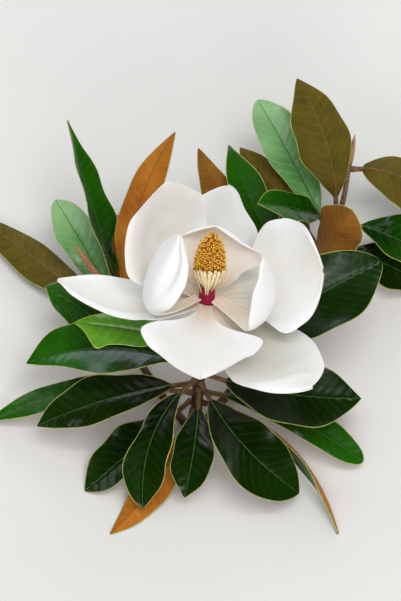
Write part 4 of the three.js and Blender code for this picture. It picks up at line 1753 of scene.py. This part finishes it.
@dataclass
class Cone:
    """The egg of carpels, each with a curled golden stigma."""

    foot: float = 26.3
    top: float = 70.0
    radius: float = 12.0
    swell: float = 0.68
    fullness: float = 0.56
    core_inset: float = 1.9
    core_stations: int = 70
    core_sides: int = 90
    core_short: tuple[float, float] = (1.0, 1.6)
    core_least: float = 0.3
    lump: float = 0.35
    lump_counts: tuple[int, int, int] = (14, 26, 40)
    curls: int = 200
    curls_from: float = 0.02
    curls_to: float = 0.985
    curl_radius: float = 1.5
    curl_tapers: tuple[float, float] = (1.05, 0.85)
    curl_sizes: tuple[float, float] = (0.85, 1.15)
    curl_leans: tuple[float, float] = (0.05, 0.95)
    curl_turns: float = 1.125
    curl_closes: float = 0.6
    curl_stations: int = 19
    curl_sides: int = 7
    curl_root: float = 0.8
    tube: float = 0.44
    tube_tapers: tuple[float, float] = (1.1, 0.6)
    amber_stretches: tuple[int, int, int] = (4, 5, 7)

    def reach(self, share: np.ndarray | float) -> np.ndarray | float:
        """The radius of the egg at a share of its height."""
        return self.radius * np.sin(math.pi * np.asarray(share) ** self.swell) ** self.fullness

    def _core(self, shape: Shape) -> None:
        """Adds the knobbly body under the curls.

        Args:
            shape: the shape to add to.
        """
        shares = blade_stations(self.core_stations)[1:, None]
        angles = circle(self.core_sides)
        reach = np.maximum(self.reach(shares) - self.core_inset, self.core_least)
        around, twisted, along = self.lump_counts
        lumps = self.lump * np.sin(around * angles + twisted * shares) * np.sin(along * shares)
        wide = reach + lumps * ease(reach, 1.0, 4.0)
        heights = lerp(self.foot + self.core_short[0], self.top - self.core_short[1], shares)
        rings = coordinates(wide * np.cos(angles), wide * np.sin(angles), heights)
        shape.add_rings(flower_to_layout(rings), ConeSkin.UMBER)

    def _spots(self) -> list[tuple[float, float]]:
        """Where the curls sit: evenly over the egg, along one spiral.

        Returns:
            The share of the height and the bearing of each.
        """
        fine = np.linspace(self.curls_from, self.curls_to, 2 * self.curls)
        area = np.cumsum(self.reach(fine) + 1.2)
        marks = np.interp((np.arange(self.curls) + 0.5) / self.curls * area[-1], area, fine)
        golden = math.pi * (3 - math.sqrt(5))
        return [(float(share), golden * i) for i, share in enumerate(marks)]

    def _curl(self, shape: Shape, share: float, bearing: float, dice: random.Random) -> None:
        """Adds one curled stigma.

        Args:
            shape: the shape to add to.
            share: its share of the egg's height.
            bearing: its direction round the axis.
            dice: the source of its small differences.
        """
        step = 0.01
        rise = float(self.reach(min(share + step, 0.999))) - float(self.reach(max(share - step, 0.001)))
        slope = math.atan2(rise, 2 * step * (self.top - self.foot))
        out, side = round_axis(bearing)
        face = out * math.cos(slope) - UP * math.sin(slope)
        climb = out * math.sin(slope) + UP * math.cos(slope)
        size = self.curl_radius * dice.uniform(*self.curl_sizes) * lerp(*self.curl_tapers, share)
        centre = out * float(self.reach(share)) + UP * lerp(self.foot, self.top, share)
        lean = dice.uniform(*self.curl_leans)
        toward = dice.uniform(0.0, TURN)
        tilt = side * math.cos(toward) + climb * math.sin(toward)
        axis = unit(face * math.cos(lean) + tilt * math.sin(lean))
        level = unit(np.cross(climb, axis))
        plane = np.cross(axis, level)
        steps = np.linspace(0.0, 1.0, self.curl_stations)
        angle = dice.uniform(0.0, TURN) + dice.choice((-1, 1)) * self.curl_turns * TURN * steps
        radius = size * lerp(1.0, self.curl_closes, ease(steps, 0.5, 1.0))
        path = (centre + level * (radius * np.cos(angle))[:, None]
                + plane * (radius * np.sin(angle))[:, None])
        path = path + face * (self.core_inset * (ease(steps, 0.0, 0.3) - 1.1))[:, None]
        path[0] -= face * self.curl_root
        line = Curve(path)
        thick = self.tube * dice.uniform(*self.curl_sizes) * lerp(*self.tube_tapers, steps**2)
        around = spokes(line, steps, circle(self.curl_sides)) * thick[:, None, None]
        first = len(shape.faces)
        shape.add_rings(flower_to_layout(line.at(steps)[:, None, :] + around), ConeSkin.GOLD)
        amber = self.curl_sides * dice.choice(self.amber_stretches)
        shape.repaint(range(first, first + amber), ConeSkin.AMBER)

    def shape(self) -> Shape:
        """Builds the core and the curls.

        Returns:
            The shape.
        """
        dice = random.Random("cone")
        shape = Shape()
        self._core(shape)
        for share, bearing in self._spots():
            self._curl(shape, share, bearing, dice)
        return shape

    def build(self, palette: Palette) -> bpy.types.Object:
        """Builds and dresses the cone."""
        finishes = [palette.gold, palette.amber, palette.umber]
        return make_piece("cone_carpels", "cone", self.shape(), finishes)


# ------------------------------------------------------------------ buds


class BudSkin(IntEnum):
    """The finishes of a bud, in the order of its materials."""

    FELT = 0
    SEAM = 1


@dataclass
class Bud:
    """A pointed felted bud that ends a shoot, closed along one dark seam."""

    name: str
    limb: Limb
    length: float
    radius: float
    belly: float = 1.6
    bluntness: float = 0.9
    point: float = 0.05
    stations: int = 70
    sides: int = 48
    facets: float = 0.06
    seam_at: float = math.pi / 2
    seam_twist: float = 0.9
    seam_depth: float = 0.45
    seam_width: float = 0.16
    seam_dark: float = 0.14
    lip: float = 0.3
    lip_at: float = 0.3
    lip_width: float = 0.2

    def shape(self) -> Shape:
        """Builds the bud.

        Returns:
            The shape.
        """
        shares = np.linspace(0.0, 1.0, self.stations, endpoint=False)[:, None]
        angles = circle(self.sides)
        direction = self.limb.curve.tangent(1.0)
        across = unit(np.cross(direction, UP))
        other = np.cross(direction, across)
        reach = self.radius * np.cos(QUARTER * shares**self.belly) ** self.bluntness
        seam = angles - self.seam_at - self.seam_twist * shares
        seam = np.abs((seam + math.pi) % TURN - math.pi)
        relief = self.facets * reach * np.sin(3 * angles)
        relief = relief - self.seam_depth * hump(seam, 0.0, self.seam_width)
        relief = relief + self.lip * hump(seam, self.lip_at, self.lip_width)
        wide = np.maximum(reach + relief * ease(reach, 0.2, 1.2), self.point)[..., None]
        centre = self.limb.curve.at(1.0) + direction * (SEAT_GAP + shares * self.length)
        spoke = across * np.cos(angles)[:, None] + other * np.sin(angles)[:, None]
        shape = Shape()
        shape.add_rings(centre[:, None, :] + spoke * wide, BudSkin.FELT)
        shape.repaint(np.flatnonzero(seam[:-1] < self.seam_dark), BudSkin.SEAM)
        return shape

    def build(self, palette: Palette) -> bpy.types.Object:
        """Builds and dresses the bud."""
        return make_piece(f"{self.name}_scales", self.name, self.shape(), [palette.bud, palette.seam])


# ------------------------------------------------------------------ the whole sprig and its studio


class Sprig:
    """The whole sprig: framework, leaves, flower and buds."""

    def __init__(self) -> None:
        """Lays the sprig out."""
        limbs = Framework().limbs
        leaves = [Leaf(plan, limbs[name]) for name, plans in LEAVES.items() for plan in plans]
        buds = [Bud("bud_left", limbs["left_shoot"], 38.0, 3.0),
                Bud("bud_right", limbs["right_shoot"], 24.0, 2.4)]
        tepals = [Tepal(plan) for plan in TEPALS]
        self.parts = [*limbs.values(), *leaves, *tepals, Receptacle(), Stamens(), Cone(), *buds]

    def build(self, palette: Palette) -> None:
        """Builds every piece in order."""
        for part in self.parts:
            part.build(palette)


@dataclass(frozen=True)
class Lamp:
    """A soft lamp that faces the flower: its place and size in metres, and its power in watts."""

    name: str
    spot: Place
    size: tuple[float, float]
    power: float
    tint: str
    glints: bool = True
    faces: Place = (0.0, 0.0, 0.08)

    def build(self) -> None:
        """Hangs the lamp."""
        light = bpy.data.lights.new(self.name, "AREA")
        light.shape = "RECTANGLE"
        light.size, light.size_y = self.size
        light.energy = self.power
        light.color = colour(self.tint)[:3]
        lamp = bpy.data.objects.new(self.name, light)
        lamp.visible_glossy = self.glints
        backward = unit(np.array(self.spot) - np.array(self.faces))
        right = unit(np.cross(UP, backward))
        up = np.cross(backward, right)
        rows = list(zip(right, up, backward, self.spot))
        lamp.matrix_world = Matrix([*rows, (0.0, 0.0, 0.0, 1.0)])
        bpy.context.scene.collection.objects.link(lamp)


@dataclass
class Studio:
    """A plain pale floor, soft lights and the camera."""

    floor_size: float = 6.0
    elevation: float = math.radians(65)
    lens: float = 120.0
    sensor: float = 36.0
    frame_height: int = 601
    scale: float = 0.78
    aim_right: float = -4.29
    aim_up: float = 3.51
    sees_to: float = 50.0
    air: str = "F7F9FC"
    air_light: float = 0.42
    lamps: tuple[Lamp, ...] = (
        Lamp("sky", (0.45, -0.25, 2.2), (1.2, 1.2), 14.5, "FFFFFF", glints=False),
        Lamp("band", (0.0, 0.1, 2.3), (2.4, 0.16), 10.0, "FAFCFF"),
        Lamp("key", (-1.3, 0.75, 1.75), (0.8, 0.8), 3.2, "FFFEFD"),
        Lamp("front", (0.3, -1.9, 1.0), (1.4, 0.8), 15.0, "FFFEFC"),
        Lamp("glint", (0.1, 1.9, 0.85), (2.8, 0.45), 16.0, "EEF5FF"),
    )

    def _camera(self) -> None:
        """Adds the camera, which looks down on the flower."""
        sine, cosine = math.sin(self.elevation), math.cos(self.elevation)
        up, back = np.array([0.0, sine, cosine]), np.array([0.0, -cosine, sine])
        aim = FLOWER_BASE + np.array([self.aim_right, 0.0, 0.0]) + up * self.aim_up - FOOTPRINT_CENTRE
        distance = self.scale * self.frame_height * self.lens / self.sensor
        data = bpy.data.cameras.new("camera")
        data.lens = self.lens
        data.sensor_width = self.sensor
        data.clip_end = self.sees_to
        camera = bpy.data.objects.new("camera", data)
        camera.location = (aim + back * distance) * METRE
        camera.rotation_euler = (math.pi / 2 - self.elevation, 0.0, 0.0)
        bpy.context.scene.collection.objects.link(camera)
        bpy.context.scene.camera = camera

    def _floor(self, palette: Palette) -> None:
        """Lays the floor.

        Args:
            palette: the finishes.
        """
        half = 0.5 * self.floor_size
        mesh = bpy.data.meshes.new("floor")
        corners = [(-half, -half, 0), (half, -half, 0), (half, half, 0), (-half, half, 0)]
        mesh.from_pydata(corners, [], [(0, 1, 2, 3)])
        mesh.materials.append(palette.floor)
        floor = bpy.data.objects.new("floor", mesh)
        bpy.context.scene.collection.objects.link(floor)

    def build(self, palette: Palette) -> None:
        """Builds the floor, the lights and the camera.

        Args:
            palette: the finishes.
        """
        self._floor(palette)
        for lamp in self.lamps:
            lamp.build()
        world = bpy.data.worlds.new("soft room")
        world.use_nodes = True
        background = world.node_tree.nodes["Background"]
        background.inputs["Color"].default_value = colour(self.air)
        background.inputs["Strength"].default_value = self.air_light
        world.cycles_visibility.glossy = False
        bpy.context.scene.world = world
        bpy.context.scene.view_settings.view_transform = "Standard"
        self._camera()


def corners(box: tuple) -> list[list[float]]:
    """Turns a box into plain lists of numbers."""
    return [[float(x) for x in corner] for corner in box]


def main() -> None:
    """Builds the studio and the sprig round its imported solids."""
    logging.basicConfig(level=logging.INFO, format="%(message)s")
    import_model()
    palette = Palette()
    Studio().build(palette)
    Sprig().build(palette)


if __name__ == "__main__":
    main()
